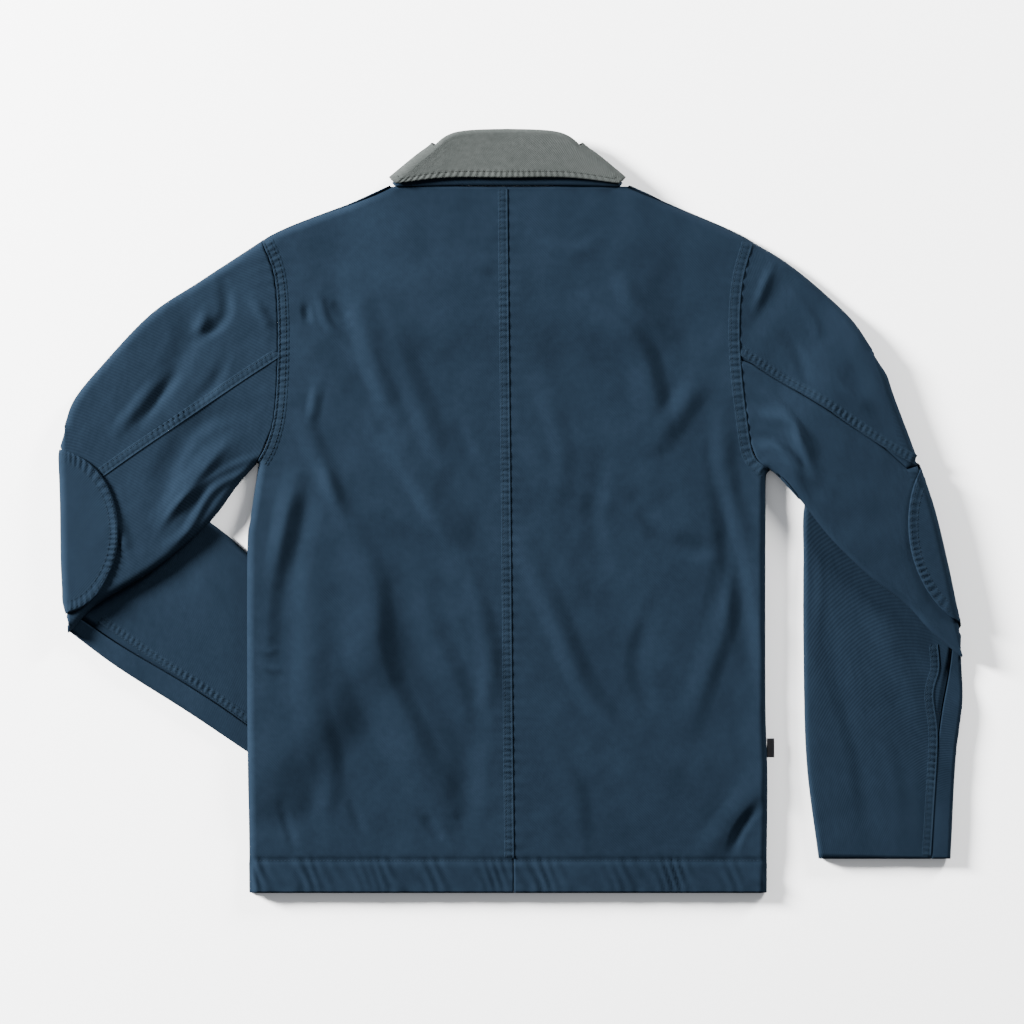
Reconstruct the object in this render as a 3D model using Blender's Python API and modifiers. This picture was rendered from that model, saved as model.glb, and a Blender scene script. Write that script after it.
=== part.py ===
"""Deck jacket in heavy cotton twill, laid flat on its front with its back up.

Both sleeves are folded under at the elbow, the left cuff lies under the body's side, and the grey
and navy collar is folded down. Seen from above, +X is to the right and +Y runs to the collar, and
+Z is up. The origin is at the foot of the bounding box, in the middle.
Sizes here are in millimetres. cloth(), button() and label() write them to the meshes in metres.
"""
import math

import bmesh
import bpy
import numpy as np

MM = 0.001

# Cloth and sewing
TWILL = 1.3
HEM_TWILL = 2.6
HEM_DEPTH = 31.0
COLLAR_CLOTH = 1.2
PATCH_CLOTH = 1.2
SEAM_GAP = 0.3
UNDER_SEAM_GAP = 1.4
SLEEVE_WIDTH = 180.0
ARMPIT_EASE = 2.2
COLLAR_GAP = 2.8
RIM_GAP = 1.3
HEM_RIM_GAP = 2.2
NECK_RIM_GAP = 3.4
PATCH_GAP = 1.4
PATCH_ROOM = PATCH_GAP + PATCH_CLOTH + 0.1

# How high the cloth lies: two layers with air between them
BODY_HEIGHT = 10.0
BODY_RIM = 2.2
SLEEVE_RIM = 4.0
FOREARM_PRESSED = 5.6
FOREARM_OPEN = 8.8
OVER_FOREARM = 6.4
PRESSED_MARGIN = 12.0
LIFT_MARGIN = 26.0
LIFT_RAMP = 30.0
TURN_HIGH = (OVER_FOREARM + BODY_HEIGHT) / 2
TURN_TIGHT = 0.5
TURN_LOW = TURN_HIGH + TURN_TIGHT - OVER_FOREARM
TURN_RIM = TURN_HIGH + (TURN_HIGH + TURN_TIGHT) / 2 - OVER_FOREARM
TURN_REACH = 25.0
TURN_END = 0.4
TURN_FLARE = 30.0
UPPER_ROUND = 8.0
LOWER_ROUND = 4.4
FOREARM_ROUND = 4.0

# Main levels along the back
HEM_Y = -364.8
NECK_Y = 312.0
BODY_HALF_WIDTH = 250.0
NECK_CENTRE_X = -4.4
HEM_CENTRE_X = 2.0

# Edges of the laid garment, each row x, y from one end of the edge to the other
LEFT = {
    "sign": -1,
    "side": [(-251.5, -364.8), (-253.4, -200), (-253.4, -39.4), (-250.6, -7.7), (-246.5, 22), (-243, 46)],
    "armhole": [(-239, 261), (-226.5, 228), (-222.7, 185), (-223.4, 130), (-226.5, 92), (-233.5, 66),
                (-243, 46)],
    "shoulder": [(-239, 261), (-213, 273.1), (-174.1, 288), (-143, 299.5), (-115.2, 312)],
    "outer": [(-239, 261), (-299.5, 221.2), (-347.5, 189), (-395.5, 138), (-419, 107), (-427.5, 83.5)],
    "under": [(-243, 46), (-262, 25), (-289.2, -10.2), (-341.8, -54.7), (-397.4, -88.1), (-424, -114)],
    "crease": [(-435.7, 85), (-434.6, 50), (-433.2, 12), (-432.4, -46), (-431, -80), (-432, -115)],
    "fore_outer": [(-427.5, 83.5), (-359, 36.5), (-289.2, -10.2), (-253.4, -39.4), (-208, -82),
                   (-164.2, -135.4)],
    "fore_under": [(-424, -114), (-376.3, -149.8), (-309.1, -193), (-253.4, -230.4), (-237.1, -240)],
    "back_seam": (0.50, 0.42, 0.40),
    "under_seam": (0.90, 0.90, 0.84),
    "forearm_height": 6.4,
    "patch": {"middle": 104.0, "half_length": 79.0, "half_width": 61.6, "shift": 0.0},
}
RIGHT = {
    "sign": 1,
    "side": [(243.8, -364.8), (244.8, -257), (242.9, -180), (242.9, -10), (243.3, 32), (245.8, 39.4)],
    "armhole": [(230.4, 259.2), (220, 222), (216.7, 180.5), (218.5, 135), (223.6, 90), (230, 54),
                (245.8, 39.4)],
    "shoulder": [(230.4, 259.2), (205, 271.5), (166, 288), (136, 301), (107, 313.5)],
    "outer": [(230.4, 259.2), (262.1, 240), (295.7, 213.1), (325.5, 184), (344.2, 156)],
    "under": [(245.8, 39.4), (254, 35), (263, 26.5), (281.3, 3.8), (306.2, -26.9), (342.7, -61.4),
              (378.2, -87.4), (402.2, -112), (430.8, -135)],
    "crease": [(351.8, 159), (363.5, 118), (379, 76), (402.5, 11.5), (417, -46), (428.5, -100), (438.6, -137)],
    "fore_outer": [(344.2, 156), (303.4, 78.7), (281.3, 11.5), (279.4, -46), (279.4, -132.5),
                   (282.2, -238), (293.8, -332.2)],
    "fore_under": [(430.8, -135), (432, -180.5), (425.3, -238), (420.5, -332.2)],
    "back_seam": (0.50, 0.39, 0.38),
    "under_seam": (0.90, 0.91, 0.85),
    "forearm_height": FOREARM_OPEN,
    "patch": {"middle": 200.0, "half_length": 86.0, "half_width": 61.6, "shift": -24.0},
}

# Largest folds of the back and the upper arms: where each runs, how wide it is to the left and to the
# right of that line, and how high it stands (a trough is negative)
FOLDS = [
    {"path": [(-212, 267), (-122, 228), (-66, 147)], "left": 34, "right": 24, "height": -1.8},
    {"path": [(-155, 222), (-138, 166), (-115, 95)], "left": 22, "right": 18, "height": 2.6},
    {"path": [(-181, 169), (-145, 127), (-122, 88)], "left": 14, "right": 24, "height": -2.4},
    {"path": [(-122, 173), (-92, 110), (-66, 46)], "left": 20, "right": 16, "height": 2.2},
    {"path": [(-129, 75), (-96, 36), (-70, -6), (-42, -41)], "left": 30, "right": 18, "height": 3.6},
    {"path": [(-207, 31), (-217, -13), (-224, -63)], "left": 16, "right": 16, "height": 2.6},
    {"path": [(-190, 40), (-216, -70), (-221, -171)], "left": 22, "right": 16, "height": -2.2},
    {"path": [(-150, -27), (-133, -70), (-127, -138), (-99, -205), (-59, -282)],
     "left": 20, "right": 36, "height": 4.6},
    {"path": [(-112, -40), (-86, -144), (-45, -225), (-50, -322)], "left": 22, "right": 22, "height": -2.2},
    {"path": [(8, -30), (42, -104), (79, -185), (150, -249), (197, -290)],
     "left": 22, "right": 22, "height": 3.2},
    {"path": [(73, 199), (118, 163), (134, 117), (141, 69)], "left": 20, "right": 26, "height": 3.2},
    {"path": [(141, 69), (164, 101), (180, 127)], "left": 18, "right": 18, "height": 2.8},
    {"path": [(128, 232), (165, 190), (195, 150)], "left": 30, "right": 34, "height": -2.0},
    {"path": [(200, 88), (203, 36), (216, -6), (227, -40)], "left": 16, "right": 14, "height": 2.6},
    {"path": [(203, 14), (216, -60), (234, -171)], "left": 14, "right": 18, "height": -2.4},
    {"path": [(200, -36), (207, -87), (187, -155), (168, -210)], "left": 16, "right": 22, "height": 3.0},
    {"path": [(238, -255), (210, -296), (180, -330)], "left": 18, "right": 18, "height": 3.0},
    {"path": [(120, 10), (140, -20), (170, -36), (198, -33)], "left": 16, "right": 14, "height": -2.2},
    {"path": [(-262, 70), (-300, 40), (-333, -10)], "left": 18, "right": 14, "height": 3.0},
    {"path": [(-250, 99), (-304, 79), (-342, 5)], "left": 12, "right": 20, "height": -2.2},
    {"path": [(-314, 203), (-312, 158), (-352, 95)], "left": 16, "right": 20, "height": -2.0},
    {"path": [(233, 94), (268, 83), (290, 40)], "left": 14, "right": 14, "height": 2.4},
    {"path": [(268, 232), (229, 173), (222, 160)], "left": 18, "right": 16, "height": -2.0},
    {"path": [(300, 160), (350, 112)], "left": 24, "right": 24, "height": -1.8},
]
FOREARM_FOLDS = [
    {"path": [(342, -82), (378, -160), (397, -219)], "left": 22, "right": 18, "height": 1.8},
    {"path": [(288, -60), (311, -160), (338, -277), (354, -331)], "left": 18, "right": 20, "height": -1.2},
]

# How the pieces are divided into rows and columns
ARM_SHARES = (0, 0.009, 0.03, 0.12, 0.25, 0.38, 0.5, 0.62, 0.75, 0.9, 0.97, 0.991, 1)
SEAM_COLUMN = 6
UNDER_SEAM_COLUMN = 9
BODY_COLUMNS = np.append(np.linspace(0, 1, 12)[:-1], (0.972, 0.991, 1.0))
FRONT_COLUMNS = np.array((0, 0.065, 0.125, 0.19, 0.34, 0.5, 0.66, 0.82, 0.97, 0.991, 1))
UPPER_ROWS = 15
TURN_ROWS = 4
FOREARM_ROWS = 10

# Front neck, lap and buttons
NECK_HALF_WIDTH = 111.0
NECK_DROP = 80.0
LAP = 15.0
PLACKET_LIFT = 2.2
PLACKET_TOP = 196.0
PLACKET_REACH = 48.0
BUTTON_RADIUS = 8.5
BUTTON_THICK = 2.0
BUTTON_YS = (-270, -160, -50, 60, 170)

# Collar: half of it, from the centre back round the side fold to the centre front
COLLAR_MIDDLE = 9.6
STAND_FROM_MIDDLE = 2.75
FALL_FROM_MIDDLE = 6.8
COLLAR_TURN = [(106, 311.5), (67.5, 347.5), (106, 314.5)]
COLLAR_BACK = [[(0, 312), (60, 312)], [(0, 361.9), (38, 360.8)], [(0, 319.5), (58, 319.5)]]
COLLAR_FRONT = [[(97, 280), (66, 249), (5, 233.5)], [(59, 330), (38, 298), (5, 264)],
                [(112, 285), (94, 232), (46, 190)]]
FALL_LIFT = 6.9
LEAF_MARGIN = 17.0
NECK_SEAM_LIFT = 7.0
SIDE_FOLD_OUTWARD = np.array([0.70, 0.715])
NECK_RISE = 3.4

# Side label
LABEL_X = 247.75
LABEL_Y = -226.0
LABEL_RISE = -0.92
LABEL_SIZE = (7.2, 18.2, 1.2)


def smooth(share):
    """0 to 1 with a soft start and end."""
    t = np.clip(share, 0, 1)
    return t * t * (3 - 2 * t)


def roll(distance, width):
    """A quarter round: 0 at the edge, 1 from the width inwards."""
    return np.sqrt(1 - (1 - np.clip(distance / width, 0, 1)) ** 2)


def curve_through(points, steps=8):
    """A smooth line through the points, as a dense array of x and y."""
    p = np.array(points, float)
    p = np.vstack([2 * p[0] - p[1], p, 2 * p[-1] - p[-2]])
    line = []
    for a, b, c, d in zip(p, p[1:], p[2:], p[3:]):
        for t in np.arange(steps) / steps:
            cubic = (2 * b + (c - a) * t + (2 * a - 5 * b + 4 * c - d) * t ** 2
                     + (3 * b - a - 3 * c + d) * t ** 3)
            line.append(cubic / 2)
    line.append(p[-2])
    return np.array(line)


def run_of(line):
    """The length along a line at each of its points."""
    return np.append(0, np.cumsum(np.hypot(*np.diff(line, axis=0).T)))


def along(line, share):
    """The points at these shares of a line's length."""
    run = run_of(line)
    at = np.asarray(share) * run[-1]
    return np.stack([np.interp(at, run, line[:, 0]), np.interp(at, run, line[:, 1])], -1)


def nearest(x, y, line):
    """Distance from each point to a line, the length along the line there, and the side."""
    ax, ay = line[:-1].T
    ex, ey = np.diff(line, axis=0).T
    px = np.asarray(x)[..., None] - ax
    py = np.asarray(y)[..., None] - ay
    t = np.clip((px * ex + py * ey) / np.maximum(ex ** 2 + ey ** 2, 1e-9), 0, 1)
    gap = np.hypot(px - t * ex, py - t * ey)
    best = gap.argmin(-1)[..., None]
    pick = lambda values: np.take_along_axis(values, best, -1)[..., 0]
    return pick(gap), pick(run_of(line)[:-1] + t * np.hypot(ex, ey)), pick(np.sign(ex * py - ey * px))


def reach(x, y, outline):
    """Distance outside a closed outline, 0 inside it."""
    ring = np.vstack([outline, outline[:1]])
    ax, ay = ring[:-1].T
    bx, by = ring[1:].T
    px = np.asarray(x)[..., None]
    py = np.asarray(y)[..., None]
    with np.errstate(divide="ignore", invalid="ignore"):
        crosses = ((ay > py) != (by > py)) & (px < (bx - ax) * (py - ay) / (by - ay) + ax)
    inside = crosses.sum(-1) % 2 == 1
    return np.where(inside, 0, nearest(x, y, ring)[0])


def fold_height(x, y, folds):
    """The sum of the folds at each point: soft ridges and troughs that fade at both ends."""
    height = np.zeros(np.shape(x))
    for fold in folds:
        line = curve_through(fold["path"], 5)
        gap, at, side = nearest(x, y, line)
        width = np.where(side > 0, fold["left"], fold["right"])
        share = at / run_of(line)[-1]
        fade = 0.25 + 0.75 * smooth(4 * share * (1 - share))
        height = height + fold["height"] * smooth(1 - gap / width) * fade
    return height


def prepare(side):
    """Turns a side's rows into smooth lines and outlines."""
    for name in ("side", "armhole", "shoulder", "outer", "under", "crease", "fore_outer", "fore_under"):
        side[name] = curve_through(side[name])
    crease = side["crease"]
    step = np.gradient(crease, axis=0)
    outward = np.stack([step[:, 1], -step[:, 0]], -1) / np.hypot(*step.T)[:, None]
    outward *= np.sign(outward[:, :1]) * side["sign"]
    side["turn_line"] = crease - TURN_HIGH * outward
    side["outward"] = outward
    for name, end in (("outer", 0), ("under", -1)):
        drift = side["turn_line"][end] - side[name][-1]
        side[name] = side[name] + drift * smooth(np.linspace(-1, 1, len(side[name])))[:, None]
    for name, end in (("fore_outer", 0), ("fore_under", -1)):
        drift = side["turn_line"][end] - side[name][0]
        side[name] = side[name] + drift * smooth(np.linspace(1, -1, len(side[name])))[:, None]
    side["top_rim"] = np.vstack([side["shoulder"][::-1], side["outer"]])
    side["low_rim"] = np.vstack([side["side"], side["under"]])
    side["forearm"] = np.vstack([side["fore_outer"], side["fore_under"][::-1], side["turn_line"][::-1]])
    side["upper_arm"] = np.vstack([side["outer"], side["turn_line"], side["under"][::-1],
                                   side["armhole"][::-1]])
    side["body"] = np.vstack([side["side"], side["armhole"][::-1], side["shoulder"],
                              [(0, NECK_Y), (0, HEM_Y)]])


def centre_x(y):
    """The centre back seam, which drifts a little from the hem to the neck."""
    return HEM_CENTRE_X + (NECK_CENTRE_X - HEM_CENTRE_X) * (y - HEM_Y) / (NECK_Y - HEM_Y)


def collar_lift(x, y):
    """How far the front's shoulders are raised by the collar that lies under them."""
    leaf = np.vstack([[COLLAR_TURN[2]], COLLAR_FRONT[2], COLLAR_FRONT[0][::-1], [COLLAR_TURN[0]]])
    px = np.abs(x - NECK_CENTRE_X)
    neck = np.hypot(px / NECK_HALF_WIDTH, (NECK_Y - y) / NECK_DROP)
    over_leaf = FALL_LIFT * smooth(1 - (reach(px, y, leaf) - LEAF_MARGIN) / LIFT_RAMP)
    at_neck = (NECK_SEAM_LIFT - FALL_LIFT) * smooth(1 - (neck - 1) / 0.18)
    return over_leaf + at_neck * np.sign(over_leaf)


def arm_lift(x, y, side):
    """How far the upper arm and the body are raised by the forearm that lies under them."""
    return OVER_FOREARM * smooth(1 - (reach(x, y, side["forearm"]) - LIFT_MARGIN) / LIFT_RAMP)


def rim_gaps(x, y, side):
    return np.minimum(nearest(x, y, side["top_rim"])[0], nearest(x, y, side["low_rim"])[0])


def rim_height(x, y, side):
    """The height of the outline edge, where the upper and the lower cloth meet."""
    near_turn = smooth(1 - nearest(x, y, side["turn_line"])[0] / TURN_REACH)
    sleeve = smooth((side["sign"] * x - BODY_HALF_WIDTH) / 45)
    edge = BODY_RIM + (SLEEVE_RIM - BODY_RIM) * sleeve
    edge = edge + (TURN_RIM - edge) * near_turn
    return edge + arm_lift(x, y, side) + collar_lift(x, y)


def upper_height(x, y, side):
    """The outer face of the back and of the upper arm's back."""
    near_neck = NECK_RISE * smooth((y - 130) / 60) * smooth((170 - np.abs(x)) / 60)
    near_turn = smooth(1 - nearest(x, y, side["turn_line"])[0] / TURN_REACH)
    folds = fold_height(x, y, FOLDS) * (1 - near_turn)
    top = arm_lift(x, y, side) + BODY_HEIGHT + near_neck + folds
    rim = rim_height(x, y, side)
    return rim + (top - rim) * roll(rim_gaps(x, y, side), UPPER_ROUND)


def lower_height(x, y, side, lapped=0):
    """The outer face of the front and of the upper arm's front, which is the lower one here."""
    near_turn = smooth(1 - nearest(x, y, side["turn_line"])[0] / TURN_REACH)
    from_centre = np.abs(x - centre_x(y))
    over_buttons = PLACKET_LIFT * smooth((y - HEM_Y - HEM_DEPTH) / 40) * smooth((PLACKET_TOP - y) / 20)
    over_lap = lapped * (TWILL + 5.5 * SEAM_GAP + (HEM_TWILL - TWILL) * smooth((HEM_Y + 60 - y) / 20))
    placket = smooth((PLACKET_REACH - from_centre) / 30) * (over_buttons + over_lap)
    low = arm_lift(x, y, side) + collar_lift(x, y) + TURN_LOW * near_turn + placket
    rim = rim_height(x, y, side)
    return rim + (low - rim) * roll(rim_gaps(x, y, side), LOWER_ROUND)


def forearm_heights(x, y, side):
    """Height of the forearm's back, on the surface below, and of its front, which faces up."""
    open_part = np.minimum(reach(x, y, side["upper_arm"]), reach(x, y, side["body"]))
    near_turn = smooth(1 - nearest(x, y, side["turn_line"])[0] / TURN_REACH)
    opened = smooth((open_part - PRESSED_MARGIN) / 40)
    total = FOREARM_PRESSED + (side["forearm_height"] - FOREARM_PRESSED) * opened
    total = total + fold_height(x, y, FOREARM_FOLDS) * smooth((open_part - PRESSED_MARGIN) / 25)
    total = total + (TURN_HIGH - TURN_TIGHT - FOREARM_PRESSED) * near_turn
    gap = np.minimum(nearest(x, y, side["fore_outer"])[0], nearest(x, y, side["fore_under"])[0])
    middle = total / 2
    bulge = roll(gap, FOREARM_ROUND)
    under = np.maximum(middle * (1 - bulge), patch_cover(x, y, side) * PATCH_ROOM)
    return under, middle + (total - middle) * bulge


def patch_cover(x, y, side):
    """1 where the elbow patch lies under the forearm, fading to 0 just outside it."""
    patch = side["patch"]
    gap, at, _ = nearest(x, y, side["turn_line"])
    across = -(gap + TURN_HIGH * math.pi / 2) - patch["shift"]
    oval = np.hypot((at - patch["middle"]) / patch["half_length"], across / patch["half_width"])
    return smooth((1.5 - oval) / 0.25)


def turn_point(at, angle, out, side, extra=0.0, rim=1.0):
    """A point of the elbow's fold: at a length along it, an angle from the top, and out or in."""
    run = run_of(side["turn_line"])
    centre = np.stack([np.interp(at, run, side["turn_line"][:, k]) for k in (0, 1)], -1)
    outward = np.stack([np.interp(at, run, side["outward"][:, k]) for k in (0, 1)], -1)
    patch = side["patch"]
    covered = smooth((1.5 - np.abs(at - patch["middle"]) / patch["half_length"]) / 0.25)
    high = TURN_HIGH - PATCH_ROOM * covered * smooth(angle / (math.pi / 2))
    middle = (high + TURN_TIGHT) / 2
    radius = middle + out * (high - middle) * rim + extra
    flare = TURN_END + (1 - TURN_END) * smooth(np.minimum(at, run[-1] - at) / TURN_FLARE)
    plan = centre + outward * (radius * flare * np.sin(angle))[..., None]
    return np.concatenate([plan, (TURN_HIGH + radius * np.cos(angle))[..., None]], -1)


def sleeve_surface(side, ring, share, face):
    """A point of the sleeve. ring runs 0 to 1 down the upper arm, to 2 round the elbow's fold and to 3
    down the forearm; share runs across from the outer edge to the underarm edge; face is 1 on the
    sleeve's back and -1 on its front."""
    ring, share, face = np.broadcast_arrays(ring, share, face)
    spot = lambda name, at: along(side[name], at)
    upper = np.clip(ring, 0, 1)
    outer, under = spot("outer", upper), spot("under", upper)
    straight = (1 - share)[..., None] * side["armhole"][0] + share[..., None] * side["armhole"][-1]
    curve = (spot("armhole", share) - straight) * ((1 - upper) ** 2)[..., None]
    plan = outer * (1 - share)[..., None] + under * share[..., None] + curve
    plan[..., 0] += side["sign"] * ARMPIT_EASE * smooth((share - 0.8) / 0.1) * (1 - upper) ** 4
    x, y = plan[..., 0], plan[..., 1]
    z = np.where(face > 0, upper_height(x, y, side), lower_height(x, y, side))
    upper_arm = np.stack([x, y, z], -1)
    edge = roll(np.minimum(share, 1 - share), 0.03)
    length = run_of(side["turn_line"])[-1]
    fold = turn_point(share * length, np.clip(ring - 1, 0, 1) * math.pi, face, side, 0, edge)
    lower = np.clip(ring - 2, 0, 1)
    outer, under = spot("fore_outer", lower), spot("fore_under", lower)
    line = spot("turn_line", share)
    chord = outer * (1 - share)[..., None] + under * share[..., None]
    chord_start = (1 - share)[..., None] * side["turn_line"][0] + share[..., None] * side["turn_line"][-1]
    plan = chord + (line - chord_start) * ((1 - lower) ** 2)[..., None]
    x, y = plan[..., 0], plan[..., 1]
    low, high = forearm_heights(x, y, side)
    forearm = np.stack([x, y, np.where(face > 0, low, high)], -1)
    kind = ring[..., None]
    return np.where(kind <= 1, upper_arm, np.where(kind < 2, fold, forearm))


def seam_shares(side, ring, which):
    """The share across the sleeve at which a seam lies, on each ring."""
    return np.interp(ring, (0, 1, 2, 3), (side[which][0], side[which][1], side[which][1], side[which][2]))


def rings():
    upper = np.linspace(0.004, 1, UPPER_ROWS)
    turn = 1 + np.arange(1, TURN_ROWS + 1) / (TURN_ROWS + 1)
    return np.concatenate([upper, turn, np.linspace(2, 3, FOREARM_ROWS)])


def sleeve_grid(side, under_piece):
    """Rings by columns of one of the sleeve's two pieces, from seam to seam round an edge fold."""
    ring = rings()[:, None]
    shares = np.array(ARM_SHARES)
    back = seam_shares(side, ring, "back_seam")
    front = seam_shares(side, ring, "under_seam")
    gap = SEAM_GAP / SLEEVE_WIDTH
    under_gap = UNDER_SEAM_GAP / 2 / SLEEVE_WIDTH
    to_seam = shares[:SEAM_COLUMN + 1] * (back - gap) / shares[SEAM_COLUMN]
    past_seam = 1 - (1 - shares[SEAM_COLUMN:]) * (1 - back - gap) / (1 - shares[SEAM_COLUMN])
    if under_piece:
        to_edge = (1 - shares[UNDER_SEAM_COLUMN:-1][::-1]) / (1 - shares[UNDER_SEAM_COLUMN])
        last = 1 - to_edge * (1 - front - under_gap)
        share = np.hstack([past_seam, last])
        face = np.append(np.ones(past_seam.shape[1]), -np.ones(last.shape[1]))
    else:
        first = shares[1:UNDER_SEAM_COLUMN + 1][::-1] * (front - under_gap) / shares[UNDER_SEAM_COLUMN]
        share = np.hstack([first, to_seam])
        face = np.append(-np.ones(first.shape[1]), np.ones(to_seam.shape[1]))
    return sleeve_surface(side, ring, share, face[None])


def edge_x(side, y):
    """The body's outline or armhole at each height, from the hem to the neck."""
    line = np.vstack([side["side"], side["armhole"][::-1][1:], side["shoulder"][1:]])
    return np.interp(y, np.maximum.accumulate(line[:, 1]), line[:, 0])


def body_levels(side, low_rows, shoulder_rows):
    """The heights of a body panel's rows. At the armhole they meet the sleeve's columns."""
    hem = (HEM_Y, HEM_Y + HEM_DEPTH - 1, HEM_Y + HEM_DEPTH + 4)
    armhole = along(side["armhole"], 1 - np.array(ARM_SHARES)[::-1])[::-1, 1]
    armhole = np.sort(armhole)
    low = np.linspace(hem[-1], armhole[0], low_rows)
    shoulder = np.linspace(armhole[-1], NECK_Y - 2 * SEAM_GAP, shoulder_rows)
    return np.concatenate([hem[:2], low, armhole[1:], shoulder[1:]])


def rim_gap(x, y, side):
    """How far a panel's edge row stands off the outline edge: more where the wall is double, and at
    the neck end of the shoulder."""
    row_y = y[:, -1]
    gap = RIM_GAP + (HEM_RIM_GAP - RIM_GAP) * smooth((HEM_Y + HEM_DEPTH + 8 - row_y) / 4)
    gap = gap + (NECK_RIM_GAP - RIM_GAP) * smooth((row_y - NECK_Y + 30) / 15)
    return gap * (1 - roll(rim_gaps(x, y, side)[:, -1], 2))


def back_grid(side):
    y = body_levels(side, 14, 6)[:, None]
    inner = centre_x(y) + side["sign"] * SEAM_GAP / 2
    x = inner + (edge_x(side, y) - inner) * BODY_COLUMNS
    y = y + 0 * x
    z = upper_height(x, y, side)
    z[:, -2:] += rim_gap(x, y, side)[:, None] * (0.6, 1)
    return np.stack([x, y, z], -1)


def front_grid(side):
    """One front: from the lapped centre edge and the scooped neck to the side and the armhole."""
    y = body_levels(side, 13, 6)
    y = np.sort(np.append(y[(y < 218) | (y > 255)], (222, 227, 232, 238, 246)))
    y[-1] = NECK_Y - 2.0
    y = y[:, None]
    neck = NECK_HALF_WIDTH * np.sqrt(np.clip(1 - ((NECK_Y - y) / NECK_DROP) ** 2, 0, 1)) + SEAM_GAP
    in_neck = smooth((y - (NECK_Y - NECK_DROP) + 9) / 8)
    lap_edge = centre_x(y) - side["sign"] * LAP
    inner = lap_edge + (NECK_CENTRE_X + side["sign"] * neck - lap_edge) * in_neck
    x = inner + (edge_x(side, y) - inner) * FRONT_COLUMNS
    y = y + 0 * x
    z = lower_height(x, y, side, lapped=side["sign"] > 0)
    z[:, -1] = np.maximum(z[:, -1] - rim_gap(x, y, side), 0.1)
    return np.stack([x, y, z], -1)


def patch_grid(side):
    """The elbow patch: an oval that lies on the sleeve's back and wraps round the elbow's fold."""
    patch = side["patch"]
    u, v = np.meshgrid(np.linspace(-1, 1, 21), np.linspace(-1, 1, 11))
    at = patch["middle"] + patch["half_length"] * v * np.sqrt(1 - u ** 2 / 2)
    across = patch["shift"] + patch["half_width"] * u * np.sqrt(1 - v ** 2 / 2)
    quarter = TURN_HIGH * math.pi / 2
    proud = PATCH_GAP + PATCH_CLOTH
    wrap = turn_point(at, np.clip(1 - across / quarter, 0, 2) * math.pi / 2, 1, side, proud)
    run = run_of(side["turn_line"])
    inward = np.maximum(np.abs(across) - quarter, 0)
    plan = np.stack([np.interp(at, run, side["turn_line"][:, k])
                     - inward * np.interp(at, run, side["outward"][:, k]) for k in (0, 1)], -1)
    x, y = plan[..., 0], plan[..., 1]
    top = upper_height(x, y, side) + proud
    low = forearm_heights(x, y, side)[0] - proud
    flat = np.stack([x, y, np.where(across > 0, top, low)], -1)
    return np.where(np.abs(across)[..., None] > quarter, flat, wrap)


def collar_level(kind, station):
    """A half collar's seam, roll line or fall edge: kind 0, 1 or 2, by stations -1 back to 1 front."""
    back = curve_through(COLLAR_BACK[kind] + [COLLAR_TURN[kind]])
    front = curve_through([COLLAR_TURN[kind]] + COLLAR_FRONT[kind])
    return np.where((station <= 0)[..., None], along(back, np.clip(1 + station, 0, 1)),
                    along(front, np.clip(station, 0, 1)))


def unit(vectors):
    return vectors / np.linalg.norm(vectors, axis=-1, keepdims=True)


def collar_grid(offset):
    """The collar from the left front round the back to the right front. Columns run from the neck
    seam up the stand, over the roll line and down the fall. offset moves the cloth's outer face."""
    half = np.concatenate([np.linspace(-1, 0, 6), np.zeros(3), np.linspace(0, 1, 6)])
    turn = np.concatenate([np.zeros(6), np.arange(1, 4) / 4, np.ones(6)]) * math.pi
    mirror = np.concatenate([-np.ones(len(half) - 1), np.ones(len(half))])
    station = np.concatenate([half[:0:-1], half])[:, None]
    turn = np.concatenate([turn[:0:-1], turn])[:, None]
    bends = np.linspace(0, math.pi, 5)
    rows = [("stand", s, 0.0) for s in (0.004, 0.33, 0.67)] + [("bend", 1.0, b) for b in bends]
    rows += [("fall", s, math.pi) for s in (0.33, 0.67, 1.0)]
    tight = (FALL_FROM_MIDDLE - STAND_FROM_MIDDLE) / 2
    columns = []
    for part, share, bend in rows:
        seam, top, edge = (collar_level(kind, station) for kind in (0, 1, 2))
        plan = seam + (top - seam) * share if part == "stand" else top
        plan = plan + (edge - top) * (share if part == "fall" else 0)
        rise = unit(top - seam)
        thin = tight + offset
        plan = plan + rise * (thin * math.sin(bend) if part == "bend" else 0)
        radius = STAND_FROM_MIDDLE + tight - thin * math.cos(bend)

        plan = plan + SIDE_FOLD_OUTWARD * (radius * np.sin(turn))[..., None]
        z = COLLAR_MIDDLE + radius * np.cos(turn)
        columns.append(np.concatenate([plan, z[..., None]], -1)[:, 0])
    grid = np.stack(columns, 1)
    grid[..., 0] = NECK_CENTRE_X + mirror[:, None] * grid[..., 0]
    return grid


def finish_material(name, colour, roughness):
    material = bpy.data.materials.new(name)
    material.use_nodes = True
    shader = material.node_tree.nodes["Principled BSDF"]
    shader.inputs["Base Color"].default_value = (*colour, 1)
    shader.inputs["Roughness"].default_value = roughness
    shader.inputs["Metallic"].default_value = 0
    return material


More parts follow.
